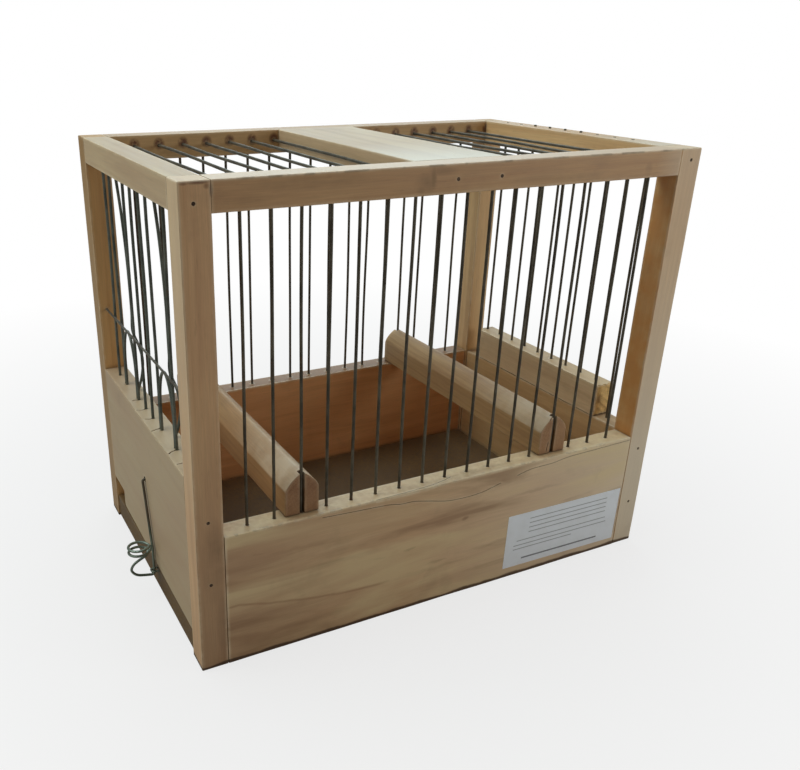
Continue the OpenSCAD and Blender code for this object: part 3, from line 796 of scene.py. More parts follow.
def pits(piece, node):
    """Cuts the shallow pits of the nails that enter a piece"""
    low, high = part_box(node)
    for spots, out in ((front_nails, -1), (back_nails, 1)):
        inside = [s for s in spots if low.x < s[0] < high.x and low.z < s[2] < high.z]
        if inside and low.y - 1e-4 < inside[0][1] < high.y + 1e-4:
            y = inside[0][1]
            drill(piece, inside, 1, y + out * MM, y - out * PIT_DEEP, PIT_R)


print("Nails:", len(front_nails), "in front,", len(back_nails), "behind")

# %% [markdown]
# The four posts are square strips. The two at the left end are also drilled from inside, for the ends
# of the crossbar. Their tops are end grain, which shows the rings as arcs. It is paler than the other
# ends: painted light on the tops.

# %% Posts
BAR_HOLE_DEEP, BAR_HOLE_R = 6.1 * MM, 0.75 * MM
bar_low, bar_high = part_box("left_crossbar")
bar_middle = (bar_low + bar_high) / 2
for node in ("front_left_post", "front_right_post", "back_left_post", "back_right_post"):
    low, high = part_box(node)
    piece = strip(node + "_pine", low, high, "z", arris=0.38, end_arris=0.6)
    pits(piece, node)
    if "left" in node:
        inner, outward = (high.y, -1) if "front" in node else (low.y, 1)
        drill(piece, [(bar_middle.x, 0, bar_middle.z)], 1, inner - outward * MM,
              inner + outward * BAR_HOLE_DEEP, BAR_HOLE_R)
    finish_wood(piece, node, "z", frame_pine, lit_top_pine, inner_frame_pine)
print("Posts:", round((high.z - low.z) / MM, 1), "mm high")

# %% [markdown]
# The rails fit between the posts with plain butt joints. The long ones are drilled from below for the
# bars and from inside for the wires of the top, and the right one right through for the door's wires.

# %% Top rails and the board between them
top_z = middle_of("top_left_wires", 2)
top_x = [x for x in side_x if abs(x - side_x[8]) > 27 * MM]
for node, along in (("front_top_rail", "x"), ("back_top_rail", "x"), ("left_top_rail", "y"),
                    ("right_top_rail", "y")):
    low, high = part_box(node)
    piece = strip(node + "_pine", low, high, along, arris=0.45, end_arris=0.14, shrink=0.02)
    below, hole_end = low.z - MM, low.z + HEAD_HOLE
    if along == "x":
        wire_y = middle_of(node.replace("top_rail", "wires"), 1)
        drill(piece, [(x, wire_y, 0) for x in side_x], 2, below, hole_end)
        inner, inward = (high.y, -1) if node.startswith("front") else (low.y, 1)
        drill(piece, [(x, 0, top_z) for x in top_x], 1, inner - inward * MM, inner + inward * SHORT_HOLE)
    elif node.startswith("left"):
        drill(piece, [(end_x, y, 0) for y in end_y], 2, below, hole_end)
    else:
        drill(piece, [(door_x, y, 0) for y in door_y], 2, below, high.z + MM, 1.05 * MM)
        drill(piece, [(door_x, end_y[0], 0)], 2, below, hole_end)
    pits(piece, node)
    finish_wood(piece, node, along, frame_pine, end_pine, inner_frame_pine)

piece = strip("top_centre_board_pine", *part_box("top_centre_board"), "y", arris=0.5, end_arris=0.14,
              shrink=0.02)
finish_wood(piece, "top_centre_board", "y", frame_pine, end_pine)
print("Top wires:", len(top_x))

# %% [markdown]
# The front board has a long split just under its top edge, and brown smears, dark streaks and a thin
# reddish line of resin lie on its face. The stains are soft ellipses and one curve, drawn in
# millimetres on the face. Painted shade darkens the face towards the left and painted light lifts it
# towards the right, and its top edge is worn and painted paler, as lit from above. The back board's
# top edge is painted darker, as shade behind the bars.

# %% Marks of the boards
BRIM = board_top / MM
STAINS = [(119, 39, 5, 1.0, 0.6), (101, 38, 5, 0.8, 0.4), (155, 49, 2.8, 1.5, 0.55), (137, 26, 8, 1.0, 0.35),
          (78, 44, 30, 1.8, 0.3), (131, 22, 26, 1.6, 0.25), (176, 27, 22, 1.6, 0.2), (48, 58, 26, 2.0, 0.22),
          (205, 55, 18, 1.4, 0.2), (66, 12, 34, 2.6, 0.2), (34, 56, 26, 8, 0.16), (40, 22, 36, 9, 0.14),
          (150, 10, 60, 6, 0.12)]


def board_marks(g, base):
    """Smears, streaks, worn top edge and resin line of the front board, and its painted light and shade"""
    across, back, up = g.millimetres(g.ruffle(g.here, g.lumps(120.0, out="Color"), 0.0035))
    straight_up = g.millimetres()[2]
    flake = g.lumps(320.0)
    streaks = g.lumps((9.0, 60.0, 60.0), 4.0, Distortion=0.6)
    # Painted light: the face grows paler towards the right.
    right_side_light = across.remap(120.0, 270.0, 0.0, 0.6) * back.remap(1.5, 3.0, 1.0, 0.0)
    # The top edge is worn, and painted paler as lit from above.
    worn_and_lit_edge = straight_up.remap(BRIM - 0.5, BRIM - 0.15) * flake.remap(0.35, 0.6, 0.6, 0.3)
    chipped = (straight_up.remap(BRIM - 1.0, BRIM - 0.6) * flake.remap(0.50, 0.62)
               * back.remap(0.8, 1.6, 0.45, 0.0))
    resin_line = across.remap(20.0, 100.0, 1.0, 0.0).calc("POWER", 1.7) * 12.0 + 22.0
    off_line = (straight_up * 0.75 + up * 0.25 - resin_line).calc("ABSOLUTE")
    resin = off_line.remap(0.2, 1.1, 0.38, 0.0) * across.remap(100.0, 108.0, 1.0, 0.0)
    # The first mark is painted shade, darker towards the left of the face.
    return g.paint(base, (across.remap(10.0, 190.0, 0.55, 0.0), (172, 136, 104)),
                   (right_side_light, (236, 220, 194)), (g.stains(across, up, STAINS), (126, 88, 60)),
                   (streaks.remap(0.50, 0.66, 0.0, 0.6), (140, 100, 68)),
                   (streaks.remap(0.47, 0.32, 0.0, 0.6), (230, 206, 158)),
                   (worn_and_lit_edge, (238, 214, 168)), (chipped, (132, 104, 72)), (resin, (142, 88, 58)))


def back_edge_shade(g, base):
    """The top edge of the back board, painted darker as shade behind the bars"""
    _, back, up = g.millimetres()
    shaded_top_edge = up.remap(BRIM - 0.5, BRIM - 0.15) * back.remap(160.0, 164.0, 0.0, 0.85)
    return g.mix(shaded_top_edge, base, (134, 88, 42))


board_pine = pine("board_pine", (218, 185, 140), (194, 153, 108), (204, 160, 122), (180, 136, 98), 0.35,
                  ring_gap=0.0065, wander=0.014, bands=0.4, marks=board_marks)
plain_pine = pine("plain_board_pine", (214, 184, 142), (190, 152, 110), (202, 164, 126),
                  (178, 138, 102), 0.4, ring_gap=0.0058, wander=0.014, marks=back_edge_shade)
print("Stains:", len(STAINS))

# %% [markdown]
# The boards below close the cage in. Their wires stand in drilled holes along the top edge. The long
# split of the front board is a real groove in three parts.

# %% Lower boards
SPLITS = [[(66, 0, 72.2), (84, 0, 71.2), (104, 0, 70), (112, 0, 68.6), (120, 0, 68.2), (130, 0, 66),
           (142, 0, 63.2), (154, 0, 62.5), (164, 0, 63), (171, 0, 64.4), (177, 0, 66)],
          [(188, 0, 68), (198, 0, 70), (213, 0, 70.4), (224, 0, 71.8), (240, 0, 72.2), (258, 0, 72.6),
           (271, 0, 72.8)]]
TOP_SPLIT = [(97, 0.4, 74.4), (114, 0.7, 74.4), (131, 1.6, 74.4), (140, 3.2, 74.4), (146, 5, 74.4)]
for node, outer in (("front_board", board_pine), ("back_board", plain_pine)):
    low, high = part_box(node)
    piece = strip(node + "_pine", low, high, "x", arris=0.4, shrink=0.16)
    wire_y = middle_of(node.replace("board", "wires"), 1)
    drill(piece, [(x, wire_y, 0) for x in side_x], 2, high.z + MM, high.z - FOOT_HOLE)
    if node == "front_board":
        for points in SPLITS:
            split(piece, points, 0.5, 0.5, 1, low.y)
        split(piece, TOP_SPLIT, 0.42, 0.9, 2, high.z)
    finish_wood(piece, node, "x", outer, end_pine, inner_pine)

low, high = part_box("right_end_board")
piece = strip("right_end_board_pine", low, high, "y", arris=0.4, shrink=0.12)
drill(piece, [(door_x, end_y[0], 0)], 2, high.z + MM, high.z - FOOT_HOLE)
finish_wood(piece, "right_end_board", "y", plain_pine, end_pine, right_inner_pine)
print("Splits:", len(SPLITS) + 1)

# %% [markdown]
# The left end board stops above the floor, so the tray can slide out under it. Its lower edge rises
# a little from front to back and ends in a notch for a fingertip. The feet of some bars have split
# the wood towards its outer edge, and a few chips are gone from that edge.

# %% Left end board
BOARD_LONG = 152.0
SLOT_FRONT, SLOT_BACK, NOTCH_TOP, NOTCH_W, NOTCH_R = 16.0, 20.0, 30.0, 23.0, 2.5
CATCH_TIP = (4.0, 87.7, 66.0)
FOOT_SPLITS = [[(5.4, 69.0), (3.0, 68.4), (0.4, 67.5)], [(5.4, 83.0), (4.0, 82.6), (1.6, 83.9)],
               [(5.4, 96.4), (3.2, 95.9), (0.6, 97.3)], [(5.4, 110.4), (3.4, 111.0), (2.0, 110.6)],
               [(5.4, 41.5), (2.8, 40.6), (0.8, 38.8)], [(5.4, 27.8), (3.4, 26.8), (1.0, 26.9)]]
CHIPS = [[(-0.25, 60.0, 0.1), (-0.05, 57.5, 0.05), (-0.3, 54.6, 0.1)],
         [(-0.3, 49.0, 0.1), (-0.1, 46.8, -0.1)],
         [(-0.2, 40.6, 0.2), (-0.25, 38.6, -0.1), (-0.2, 36.5, 0.2)]]


def tray_slot(share):
    """How far the board's lower edge is cut away above the slot and the notch"""
    y = share * BOARD_LONG
    edge = BOARD_LONG - NOTCH_W
    if y > edge:
        return (0, 0, NOTCH_TOP - SLOT_FRONT, 0)
    up = (SLOT_BACK - SLOT_FRONT) * y / edge
    if y > edge - NOTCH_R:
        up += NOTCH_R - math.sqrt(max(NOTCH_R ** 2 - (y - (edge - NOTCH_R)) ** 2, 0))
    return (0, 0, up, 0)


low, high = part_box("left_end_board")
before_notch = (2.5, 2.2, 1.7, 1.1, 0.6, 0.25, 0.05, 0.0, -0.02)
piece = strip("left_end_board_pine", low, high, "y", arris=0.45, shrink=0.1, bounds=tray_slot,
              extra=[(BOARD_LONG - NOTCH_W - d) / BOARD_LONG for d in before_notch])
hoop_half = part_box("front_feeder_hoop")[1].y - end_y[FEEDERS[0] - 1] - 0.75 * MM
GUARD_FOOT = 3.4 * MM
guard_spots = [(end_x + GUARD_FOOT, end_y[k - 1], 0) for k in FEEDERS]
drill(piece, [(end_x, y, 0) for y in straight] + guard_spots, 2, high.z + MM, high.z - FOOT_HOLE)
hoop_spots = [(end_x, end_y[k - 1] + s * hoop_half, 0) for k in FEEDERS for s in (-1, 1)]
drill(piece, hoop_spots, 2, high.z + MM, high.z - SHORT_HOLE)
drill(piece, [at(0, *CATCH_TIP[1:])], 0, low.x - MM, low.x + 6 * MM, 1.7 * MM)
edge_z = (high.z - corner.z) / MM
for points in FOOT_SPLITS:
    split(piece, [(px, py, edge_z) for px, py in points], 0.7, 1.2, 2, high.z)
for points in CHIPS:
    cut(piece, tube("chip", [[at(px, py, edge_z + pz) for px, py, pz in points]], 0.62 * MM, 9))
finish_wood(piece, "left_end_board", "y", left_pine, end_pine, inner_pine)
print("Left end board:", [round(v / MM, 1) for v in (high - low)], "mm")

# %% [markdown]
# The bars are hard-drawn steel wire, grey with fine lines along it, dull patches and a few brown
# spots. The wires of the left end are a lighter, greener grey, a painted reflection of the window,
# and the crossbar a lighter grey, painted light from above. The catch and its staple are zinc-coated
# and rusted where the loop has been handled.

# %% Metals
def steel(name, base, worn, rust, rough=0.50, streak=0.30, metallic=0.40, browned=None):
    """Drawn wire. browned, if given, is the height in millimetres above which it is brown all over"""
    made, g = new_material(name)
    patch, fine = g.lumps(90.0), g.lumps(1500.0, 2.0)
    skin = g.shade(g.mix(patch.remap(0.38, 0.62), base, worn), fine.remap(0.3, 0.7, 1 - streak, 1.0))
    spots = g.lumps(260.0).remap(0.62, 0.72, 0.0, 0.7)
    if browned:
        spots = strongest([spots, g.millimetres()[2].remap(browned, browned + 12, 0.0, 0.85)])
    g.skin(g.mix(spots, skin, rust), patch.remap(0.3, 0.7, rough - 0.08, rough + 0.14), fine, 0.25, 0.00004,
           Metallic=spots.remap(0.0, 0.7, metallic, 0.1))
    return made


steel_wire = steel("steel_wire", (108, 100, 84), (80, 73, 60), (90, 64, 42))
# A lighter, greener copy for the left end: a painted reflection of the window.
end_wire = steel("end_wire", (112, 116, 106), (86, 90, 82), (90, 70, 50))
# A lighter copy for the crossbar: painted light from above.
bar_wire = steel("crossbar_wire", (118, 110, 96), (92, 84, 72), (96, 72, 50))
galvanised = steel("galvanised_wire", (142, 152, 138), (100, 112, 100), (78, 60, 42), rough=0.40,
                   streak=0.25, metallic=0.6, browned=34)
nail_steel = steel("nail_steel", (98, 76, 54), (74, 54, 38), (92, 58, 34), rough=0.6, metallic=0.2)
print("Metals:", [m.name for m in (steel_wire, end_wire, bar_wire, galvanised, nail_steel)])

# %% [markdown]
# The wire was cut from a coil and straightened by machine, so none is quite straight. Each one here
# bows by a few tenths of a millimetre between its two holes.

# %% Wire paths
def bowed(a, b, seed, bow=0.45, steps=14):
    """Points from a to b that bow a little sideways between the two fixed ends"""
    a, b = Vector(a), Vector(b)
    d = (b - a).normalized()
    side = d.orthogonal().normalized()
    other = d.cross(side)
    points = []
    for i in range(steps + 1):
        t = i / steps
        hold = math.sin(math.pi * t) ** 0.8 if 0 < t < 1 else 0
        u = bow * MM * hold * noise.noise(Vector((1.7 * t, seed * 5.13, 0.5))) * 1.8
        v = bow * MM * hold * noise.noise(Vector((1.4 * t, seed * 5.13, 9.5))) * 1.8
        points.append(a.lerp(b, t) + side * u + other * v)
    return points


def wires(node, paths, material, radius=R, body="frame", ending="_steel", slot="steel_wire", sides=14):
    """Makes and finishes the wires of one node along their paths"""
    finish(tube(node + ending, paths, radius, sides), node, body, slot, 50, material)


print("Bow of a bar:", round(max(p.x for p in bowed((0, 0, 0), (0, 0, 0.17), 2.0)) / MM, 2), "mm")

# %% [markdown]
# Seventeen bars stand in the front and as many in the back. Seven wires cross the top on each side of
# the middle board. One bar of the left end has been pushed sideways in use, so it bows more.

# %% Straight bars of the sides and top
foot_z = board_top - 10 * MM
head_z = rail_low + 5 * MM
for node in ("front_wires", "back_wires"):
    y, seed = middle_of(node, 1), seed_of(node)
    wires(node, [bowed((x, y, foot_z), (x, y, head_z), seed + i) for i, x in enumerate(side_x)], steel_wire)

for node, chosen in (("top_left_wires", side_x[:7]), ("top_right_wires", side_x[10:])):
    low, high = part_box(node)
    z, seed = middle_of(node, 2), seed_of(node)
    wires(node, [bowed((x, low.y, z), (x, high.y, z), seed + i, bow=0.6) for i, x in enumerate(chosen)],
          steel_wire)

left_foot = left_top - 10 * MM
PUSHED = {2: 2.2, 5: 0.8, 7: -0.7}
paths = []
for i, y in enumerate(straight):
    path = bowed((end_x, y, left_foot), (end_x, y, head_z), 3.3 + i, bow=0.6)
    for j, p in enumerate(path):
        p.y += PUSHED.get(i, 0) * MM * math.sin(math.pi * min(max((j - 1) / 13, 0), 1))
    paths.append(path)
wires("left_end_wires", paths, end_wire)

low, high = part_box("door_side_wire")
middle = (low + high) / 2
wires("door_side_wire", [bowed((middle.x, middle.y, low.z), (middle.x, middle.y, high.z), 8.2)], steel_wire)
print("Straight bars:", 2 * len(side_x) + len(straight) + 15)

# %% [markdown]
# At the left end a bird feeds through two round-topped openings. Each is one wire bent to a hoop. A
# guard wire behind it swells inwards, so a feeder cup can hang there. One long crossbar is spot
# welded to the bars outside them, and a small nugget of metal shows at each weld.

# %% Feeder hoops and guards
LEGS, GUARD_ARCH, GUARD_BULGE, GUARD_LEAN = 12 * MM, 36 * MM, 7.2 * MM, 2.8 * MM
hoop_foot = left_top - 6 * MM
spring = left_top + LEGS
for node, k in (("front_feeder_hoop", FEEDERS[0]), ("rear_feeder_hoop", FEEDERS[1])):
    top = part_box(node)[1].z - R
    y = end_y[k - 1]
    path = [Vector((end_x, y - hoop_half, hoop_foot + t * (spring - hoop_foot) / 6)) for t in range(6)]
    for t in map(math.radians, range(0, 181, 5)):
        path.append(Vector((end_x, y - hoop_half * math.cos(t), spring + (top - spring) * math.sin(t))))
    path += [Vector((end_x, y + hoop_half, spring - t * (spring - hoop_foot) / 6)) for t in range(1, 7)]
    wires(node, [path], end_wire)

arch = left_top + GUARD_ARCH
span, rise = rail_low - arch, arch - left_top
bulge, lean, foot = end_x + GUARD_BULGE, end_x + GUARD_LEAN, end_x + GUARD_FOOT
knots = [(end_x, rail_low), (end_x + 0.6 * GUARD_LEAN, rail_low - 0.25 * span),
         (lean, rail_low - 0.55 * span), (lean + 0.1 * GUARD_LEAN, arch + 0.14 * span), (lean, arch),
         (lean + 0.68 * (bulge - lean), left_top + 0.73 * rise), (bulge, left_top + 0.49 * rise),
         (bulge - 0.3 * (bulge - foot), left_top + 0.23 * rise), (foot, left_top)]
for node, k in (("front_feeder_guard", FEEDERS[0]), ("rear_feeder_guard", FEEDERS[1])):
    y = end_y[k - 1]
    bend = curve_through([(px, y, pz) for px, pz in knots])
    wires(node, [[Vector((end_x, y, head_z))] + bend + [Vector((foot, y, left_foot))]], end_wire)
print("Feeder openings:", round(2 * hoop_half / MM, 1), "mm wide")


# %% Crossbar and its welds
def turned(name, profile, centre, axis, sides=18):
    """A solid turned on a lathe: profile is a list of (distance along the axis, radius) in millimetres"""
    a, ia, ib = axis
    rings = []
    for along, r in profile:
        ring = []
        for j in range(sides):
            t = 2 * math.pi * j / sides
            p = list(centre)
            p[a] += along * MM
            p[ia] += r * MM * math.cos(t)
            p[ib] += r * MM * math.sin(t)
            ring.append(p)
        rings.append(ring)
    return loft(name, rings)


def join(pieces, name):
    """Joins several meshes into the first"""
    shape = bmesh.new()
    for p in pieces:
        shape.from_mesh(p.data)
    shape.to_mesh(pieces[0].data)
    shape.free()
    for p in pieces[1:]:
        bpy.data.objects.remove(p)
    pieces[0].name = name
    return pieces[0]


NUGGET = [(-0.8, 0.05), (-0.6, 0.38), (-0.25, 0.52), (0.25, 0.5), (0.6, 0.36), (0.8, 0.05)]
line = bowed((bar_middle.x, bar_low.y, bar_middle.z), (bar_middle.x, bar_high.y, bar_middle.z), 5.5,
             bow=0.25, steps=24)
wires("left_crossbar", [line], bar_wire, (bar_high.x - bar_low.x) / 2)
weld_x = (bar_middle.x + end_x) / 2
welds = [turned("weld", NUGGET, (weld_x, y, bar_middle.z), (1, 0, 2)) for y in straight[1:-1]]
finish(join(welds, "crossbar_welds"), None, "frame", "steel_wire", 50, bar_wire)
print("Welds:", len(straight) - 2)

# %% [markdown]
# Each perch is a strip planed by hand to a rounded top with a crest. A saw cut in each end
# straddles one bar of the cage, which holds the perch by its own stiffness. The ends are rough from
# the saw, and the right one has a nick and a crack beside its cut.

# %% Perches
CREST, PERCH_ARRIS = 1.45, 0.35 * MM


def perch(node, seed):
    """A half-round perch lofted along y, with a kerf sawn in each end"""
    low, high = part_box(node)
    middle = (low.x + high.x) / 2
    half = (high.x - low.x) / 2
    side_top = high.z - half
    rings = []
    for y in stations(low.y, high.y, PERCH_ARRIS, 20):
        inset = end_inset(y, low.y, high.y, PERCH_ARRIS)
        h = half - inset - 0.05 * MM * (1 + smooth(y * 30, 1, seed))
        b = (0.5 + 0.2 * smooth(y * 30, 2, seed)) * MM
        lower = [[Vector((middle + side * (h - b + b * math.cos(t)), y, low.z + inset + b - b * math.sin(t)))
                  for t in map(math.radians, (90, 60, 30, 0))] for side in (1, -1)]
        upper = []
        for a in range(0, 181, 6):
            t = math.radians(a)
            q = h * (1 - 0.007 * (1 + smooth(a / 30, 3, seed + y * 6)))
            c = math.copysign(abs(math.cos(t)) ** CREST, math.cos(t))
            upper.append(Vector((middle + q * c, y, side_top + q * abs(math.sin(t)) ** CREST - inset * 0.3)))
        rings.append(lower[0] + upper + lower[1][::-1])
    piece = loft(node + "_pine", rings)
    deep = (middle_of("front_wires", 1) + 1.6 * MM) - low.y
    for y0, y1 in ((low.y - MM, low.y + deep), (high.y - deep, high.y + MM)):
        cut(piece, strip("kerf", Vector((middle - 1.4 * MM, y0, low.z - MM)),
                         Vector((middle + 1.4 * MM, y1, high.z + MM)), "z", arris=0.14))
    if node == "right_perch":
        x, z = (middle - corner.x) / MM, (high.z - corner.z) / MM
        nick = [at(x - 3.4, 4.2, z - 2.4), at(x - 1.6, 5.2, z - 0.2), at(x - 1.2, 7.0, z + 0.6)]
        cut(piece, tube("nick", [nick], 0.8 * MM, 7))
        crack = [(x - 3.6, 4.7, z - 21.6), (x - 3.2, 4.7, z - 18), (x - 2.6, 4.7, z - 15.5)]
        split(piece, crack, 0.5, 1.2, 1, low.y)
    finish_wood(piece, node, "y", perch_pine, end_pine, body=node + "_slider")
    print(node, [round(v / MM, 1) for v in (high - low)])


perch("left_perch", 2.2)
perch("right_perch", 6.4)

# %% [markdown]
# The right end is a door. Its wooden bar carries nine wires that run up through the right top rail, so
# the whole door lifts. The bar's front end was sawn and left rough, and the inner corner of its far
# end is sawn off.

# %% Door
DOOR_CORNER = 4.6 * MM
low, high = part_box("door_bar")
piece = strip("door_bar_pine", low, high, "y", arris=0.4)
drill(piece, [(door_x, y, 0) for y in door_y], 2, high.z + MM, high.z - 12.2 * MM)
plan = [(low.x - MM, high.y - DOOR_CORNER - MM), (low.x + DOOR_CORNER + MM, high.y + MM),
        (low.x - MM, high.y + MM)]
cut(piece, loft("corner", [[(px, py, z) for px, py in plan] for z in (low.z - MM, high.z + MM)]))
corners = [(x, z) for z in (high.z, low.z) for x in (low.x, high.x)]
for i, (start, end) in enumerate(((0, 1), (0, 2), (2, 3), (1, 3))):
    (x0, z0), (x1, z1) = corners[start], corners[end]
    for j in range(3):
        a = 0.06 + 0.31 * j
        b = a + 0.17 + 0.08 * smooth(j * 1.3, i, 2.7)
        deep = (0.5 + 0.5 * smooth(j * 2.1, i + 4, 5.2)) * MM
        path = []
        for t in (a, (a + b) / 2, b):
            y = low.y - 0.3 * MM + deep * (0.4 + 0.6 * math.sin(math.pi * (t - a) / (b - a)))
            path.append(Vector((x0 + (x1 - x0) * t, y, z0 + (z1 - z0) * t)))
        cut(piece, tube("chip", [path], 0.75 * MM, 7))
finish_wood(piece, "door_bar", "y", door_pine, sawn_pine, body="door")

low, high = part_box("door_wires")
LONG_TIPS = range(END_PLACES // 2, END_PLACES - 1)
paths = []
for i, y in enumerate(door_y):
    top = high.z - (0.3 if i + 2 in LONG_TIPS else 1.0) * MM
    paths.append(bowed((door_x, y, low.z), (door_x, y, top), 4.4 + i, bow=0.12))
wires("door_wires", paths, steel_wire, body="door")
print("Door wires:", len(door_y))

# %% [markdown]
# The tray is hardboard, pressed from wood fibre: dark brown, a little mottled, with a fine fluff of
# fibres. The floor slides on two pine runners, and the strip at its left end closes the slot.

# %% Hardboard
def pressed_board(name, dark, pale, fluff_colour, stain_colour):
    """A sheet of pressed wood fibre"""
    made, g = new_material(name)
    fluff, fibre = g.lumps(900.0, 4.0), g.lumps(260.0, 5.0, Distortion=2.5)
    # The last mark is painted shade in the closed corners.
    base = g.paint(dark, (fibre.remap(0.35, 0.65), pale), (fluff.remap(0.58, 0.72, 0, 0.5), fluff_colour),
                   (g.lumps(22.0, 4.0).remap(0.4, 0.65, 0, 0.4), stain_colour),
                   (g.group(edge_wear)["Edge"] * 0.45, (150, 122, 84)),
                   (g.group(dust_and_dirt)["Corner"] * 0.6, (52, 36, 24)))
    g.skin(base, fibre.remap(0.3, 0.7, 0.5, 0.72), fluff, 0.4, 0.0001)
    return made


floor_board = pressed_board("tray_floor_board", (92, 68, 40), (116, 88, 53), (58, 42, 26), (78, 58, 36))
strip_board = pressed_board("tray_strip_board", (98, 70, 34), (118, 88, 46), (66, 44, 22), (84, 60, 30))
print("Boards:", floor_board.name, strip_board.name)

# %% Tray and runners
floor_low, floor_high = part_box("tray_floor")
piece = strip("tray_floor_board", floor_low, floor_high, "x", arris=0.25, end_arris=0.2)
finish(piece, "tray_floor", "tray", "hardboard", 38, floor_board)

low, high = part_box("tray_strip")
piece = strip("tray_strip_board", low, high, "y", arris=0.5)
cut(piece, strip("groove", Vector((floor_low.x, low.y - MM, floor_low.z)),
                 Vector((high.x + MM, high.y + MM, floor_high.z)), "y", arris=0.12))
staple_low, staple_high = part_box("catch_staple")
STAPLE_R = 0.55 * MM
y0, y1 = staple_low.y + STAPLE_R, staple_high.y - STAPLE_R
staple_z = (staple_low.z + staple_high.z) / 2
drill(piece, [(0, y0, staple_z), (0, y1, staple_z)], 0, low.x - MM, staple_high.x, 0.62 * MM)
finish(piece, "tray_strip", "tray", "hardboard", 38, strip_board)

for node in ("front_runner", "back_runner"):
    piece = strip(node + "_pine", *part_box(node), "x", arris=0.3, shrink=0.1)
    finish_wood(piece, node, "x", inner_pine, end_pine)
print("Tray strip and floor:", round((floor_high.x - floor_low.x) / MM, 1), "mm long")

# %% [markdown]
# One zinc-coated wire is the tray's catch. Its tip springs into a hole in the left end board, its
# shank leans down to a staple in the tray's strip, and below that it is bent to a loop and a double
# ring for a fingertip. The same steps as in the part's source give its centre line.

# %% Catch
TIP_X, TIP_Y, TIP_Z = CATCH_TIP
SHANK_X, SHANK_Y, KNEE_Z, FOOT_LOW = -1.3, 77.0, 27.0, 10.4
RING_R, RING_H, RING_RISE, RING_TURNS = 6.0, 26.0, 3.1, 1.9
BEND_R = 1.2
QUARTER = [math.radians(a) for a in range(0, 91, 15)]
ring_x = SHANK_X - 1.5 - RING_R
side = ring_x - RING_R
rise = RING_H - FOOT_LOW
path = [(TIP_X, TIP_Y, TIP_Z), (SHANK_X + BEND_R + 1.0, TIP_Y, TIP_Z)]
path += [(SHANK_X + BEND_R - BEND_R * math.sin(t), TIP_Y, TIP_Z - BEND_R + BEND_R * math.cos(t))
         for t in QUARTER]
knee_top = path[-1][2]
for i in range(1, 12):
    t = i / 12
    path.append((SHANK_X, TIP_Y + (SHANK_Y - TIP_Y) * t, knee_top + (KNEE_Z - knee_top) * t))
path += [(SHANK_X, SHANK_Y + 0.15, KNEE_Z + 0.5), (SHANK_X, SHANK_Y, KNEE_Z - 1.5), (SHANK_X, SHANK_Y, 19.0),
         (SHANK_X, SHANK_Y, FOOT_LOW + BEND_R), (SHANK_X - BEND_R * 0.12, SHANK_Y, FOOT_LOW + BEND_R * 0.62),
         (SHANK_X - BEND_R * 0.45, SHANK_Y, FOOT_LOW + BEND_R * 0.25)]
loop = curve_through([(px, 0, pz) for px, pz in [
    (SHANK_X - 0.27 * RING_R, FOOT_LOW - 0.05), (SHANK_X - 0.95 * RING_R, FOOT_LOW + 0.05 * rise),
    (SHANK_X - 1.52 * RING_R, FOOT_LOW + 0.11 * rise), (side + 0.33 * RING_R, FOOT_LOW + 0.22 * rise),
    (side + 0.1 * RING_R, FOOT_LOW + 0.4 * rise), (side + 0.35 * RING_R, FOOT_LOW + 0.59 * rise),
    (ring_x - 0.2 * RING_R, FOOT_LOW + 0.71 * rise), (ring_x + 0.2 * RING_R, FOOT_LOW + 0.79 * rise),
    (SHANK_X - 0.62 * RING_R, FOOT_LOW + 0.88 * rise)]], steps=8)
points = [at(*p) for p in path] + [at(p.x, SHANK_Y, p.z) for p in loop]
for a in range(20, int(360 * RING_TURNS) + 1, 8):
    t = math.radians(a)
    points.append(at(ring_x + RING_R * math.cos(t), SHANK_Y + RING_R * math.sin(t),
                     RING_H + RING_RISE * a / 360))
wires("catch_wire", [points], galvanised, 0.75 * MM, "catch", "_galvanised", "galvanised_wire")
print("Catch:", round(sum((b - a).length for a, b in zip(points, points[1:])) / MM), "mm of wire")

# %% Staple
TURN_R = 0.7 * MM
crown = staple_low.x + STAPLE_R
leg = staple_high.x
bend_x = crown + TURN_R
points = [(leg, y0), (bend_x + 0.5 * MM, y0)]
points += [(bend_x - TURN_R * math.sin(t), y0 + TURN_R - TURN_R * math.cos(t)) for t in QUARTER]
points += [(bend_x - TURN_R * math.cos(t), y1 - TURN_R + TURN_R * math.sin(t)) for t in QUARTER]
points += [(bend_x + 0.5 * MM, y1), (leg, y1)]
wires("catch_staple", [[Vector((px, py, staple_z)) for px, py in points]], galvanised, STAPLE_R, "tray",
      "_galvanised", "galvanised_wire", 12)
print("Staple:", round((y1 - y0) / MM, 1), "mm between its legs")

# %% [markdown]
# Small brads hold the frame. Their heads are punched a little below the face and have rusted brown.

# %% Nails
HEAD = [(0.12, 0.4), (0.14, 0.64), (0.22, 0.76), (0.4, 0.79), (0.54, 0.76), (0.58, 0.66), (0.6, 0.6)]
SHANK = [(3.0, 0.6), (12.0, 0.6), (23.6, 0.6), (24.9, 0.05)]
for node, spots, out in (("front_nails", front_nails, 1), ("back_nails", back_nails, -1)):
    profile = [(along * out, r) for along, r in HEAD + SHANK]
    made = join([turned("nail", profile, s, (1, 0, 2)) for s in spots], node + "_steel")
    finish(made, node, "frame", "nail_steel", 50, nail_steel)
print("Nails:", len(front_nails) + len(back_nails))

# %% [markdown]
# The label is a thin white sticker, laid a little askew over the board and puckered by damp. Its print
# is left off. Plain ruled lines stand in its place.

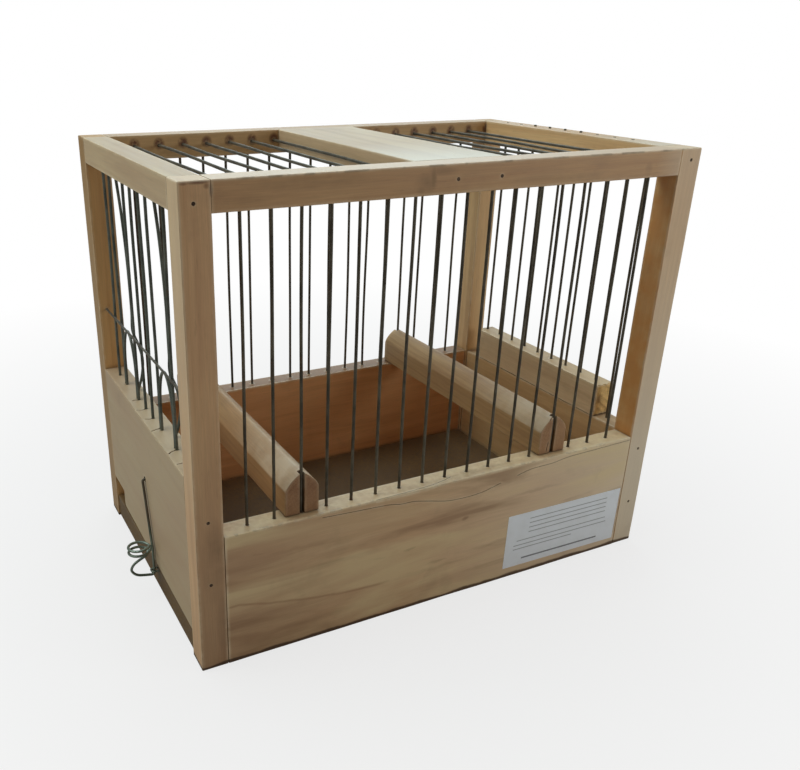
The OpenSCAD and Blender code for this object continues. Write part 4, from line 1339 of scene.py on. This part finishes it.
# %% Paper of the label
RULES = [(13, 71, 3.9, 4.9, 1.0), (6, 50, 11.2, 11.7, 0.8), (6, 77, 13.8, 14.3, 0.8),
         (8, 76, 16.8, 17.3, 0.8), (16, 75, 21.4, 21.9, 0.8), (16, 75, 24.4, 24.9, 0.8),
         (16, 75, 27.4, 27.9, 0.8), (16, 75, 30.4, 30.9, 0.8)]
paper, g = new_material("label_paper")
where = g.value("Attribute", out="Vector", attribute_name="grain")
across, up = (g.value("SeparateXYZ", {0: where}, i) for i in (0, 1))


def between(value, low_end, high_end, soft=0.05):
    """1 where a value lies between two numbers, with soft edges"""
    after_low = value.remap(low_end - soft, low_end + soft)
    return after_low * value.remap(high_end - soft, high_end + soft, 1.0, 0.0)


ink = strongest([between(across, x0, x1) * between(up, y0, y1) * strong for x0, x1, y0, y1, strong in RULES])
pulp = g.lumps(4.0, 3.0, where)
sheet = g.mix(g.lumps(0.12, 4.0, where).remap(0.4, 0.65, 0, 0.5), (246, 249, 255), (234, 236, 240))
g.skin(g.mix(ink * 0.8, sheet, (66, 66, 68)), pulp.remap(0.3, 0.7, 0.45, 0.6), pulp, 0.15, 0.02)
print("Ruled lines:", len(RULES))

# %% Label
LABEL_W, LABEL_H, LABEL_T, LABEL_TILT = 84.8, 35.2, 0.15, math.radians(0.8)
COLUMNS, ROWS = 56, 24
low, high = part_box("paper_label")
centre = (low + high) / 2
row = COLUMNS + 1
layer = (ROWS + 1) * row
verts, faces, places = [], [], []
for k in range(2 * layer):
    u, v = LABEL_W * (k % layer % row) / COLUMNS, LABEL_H * (k % layer // row) / ROWS
    edge = min(u, LABEL_W - u, v, LABEL_H - v)
    pucker = 0.03 * (1 + noise.noise(Vector((u * 0.09, v * 0.12, 4.1)))) * min(edge / 2, 1)
    dy = -LABEL_T + 0.05 - pucker if k < layer else 0.0
    a, b = u - LABEL_W / 2, v - LABEL_H / 2
    verts.append((centre.x + (a * math.cos(LABEL_TILT) + b * math.sin(LABEL_TILT)) * MM, high.y + dy * MM,
                  centre.z + (-a * math.sin(LABEL_TILT) + b * math.cos(LABEL_TILT)) * MM))
    places += [u, v, 0.0]
for first in (0, layer):
    for j in range(ROWS):
        for a in range(first + j * row, first + j * row + COLUMNS):
            face = (a, a + 1, a + row + 1, a + row)
            faces.append(face if first == 0 else face[::-1])
rim = list(range(row)) + [(j + 1) * row - 1 for j in range(1, ROWS + 1)]
rim += [ROWS * row + i for i in range(COLUMNS - 1, -1, -1)] + [j * row for j in range(ROWS - 1, 0, -1)]
faces += [(b, a, a + layer, b + layer) for a, b in zip(rim, rim[1:] + rim[:1])]
piece = new_piece("paper_label_sheet", verts, faces)
store(piece, "grain", places)
piece.data.materials.append(paper)
piece.data.shade_smooth()
piece.data.set_sharp_from_angle(angle=math.radians(50))
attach(piece, "frame")
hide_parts("paper_label")
print("Label:", LABEL_W, "by", LABEL_H, "mm")
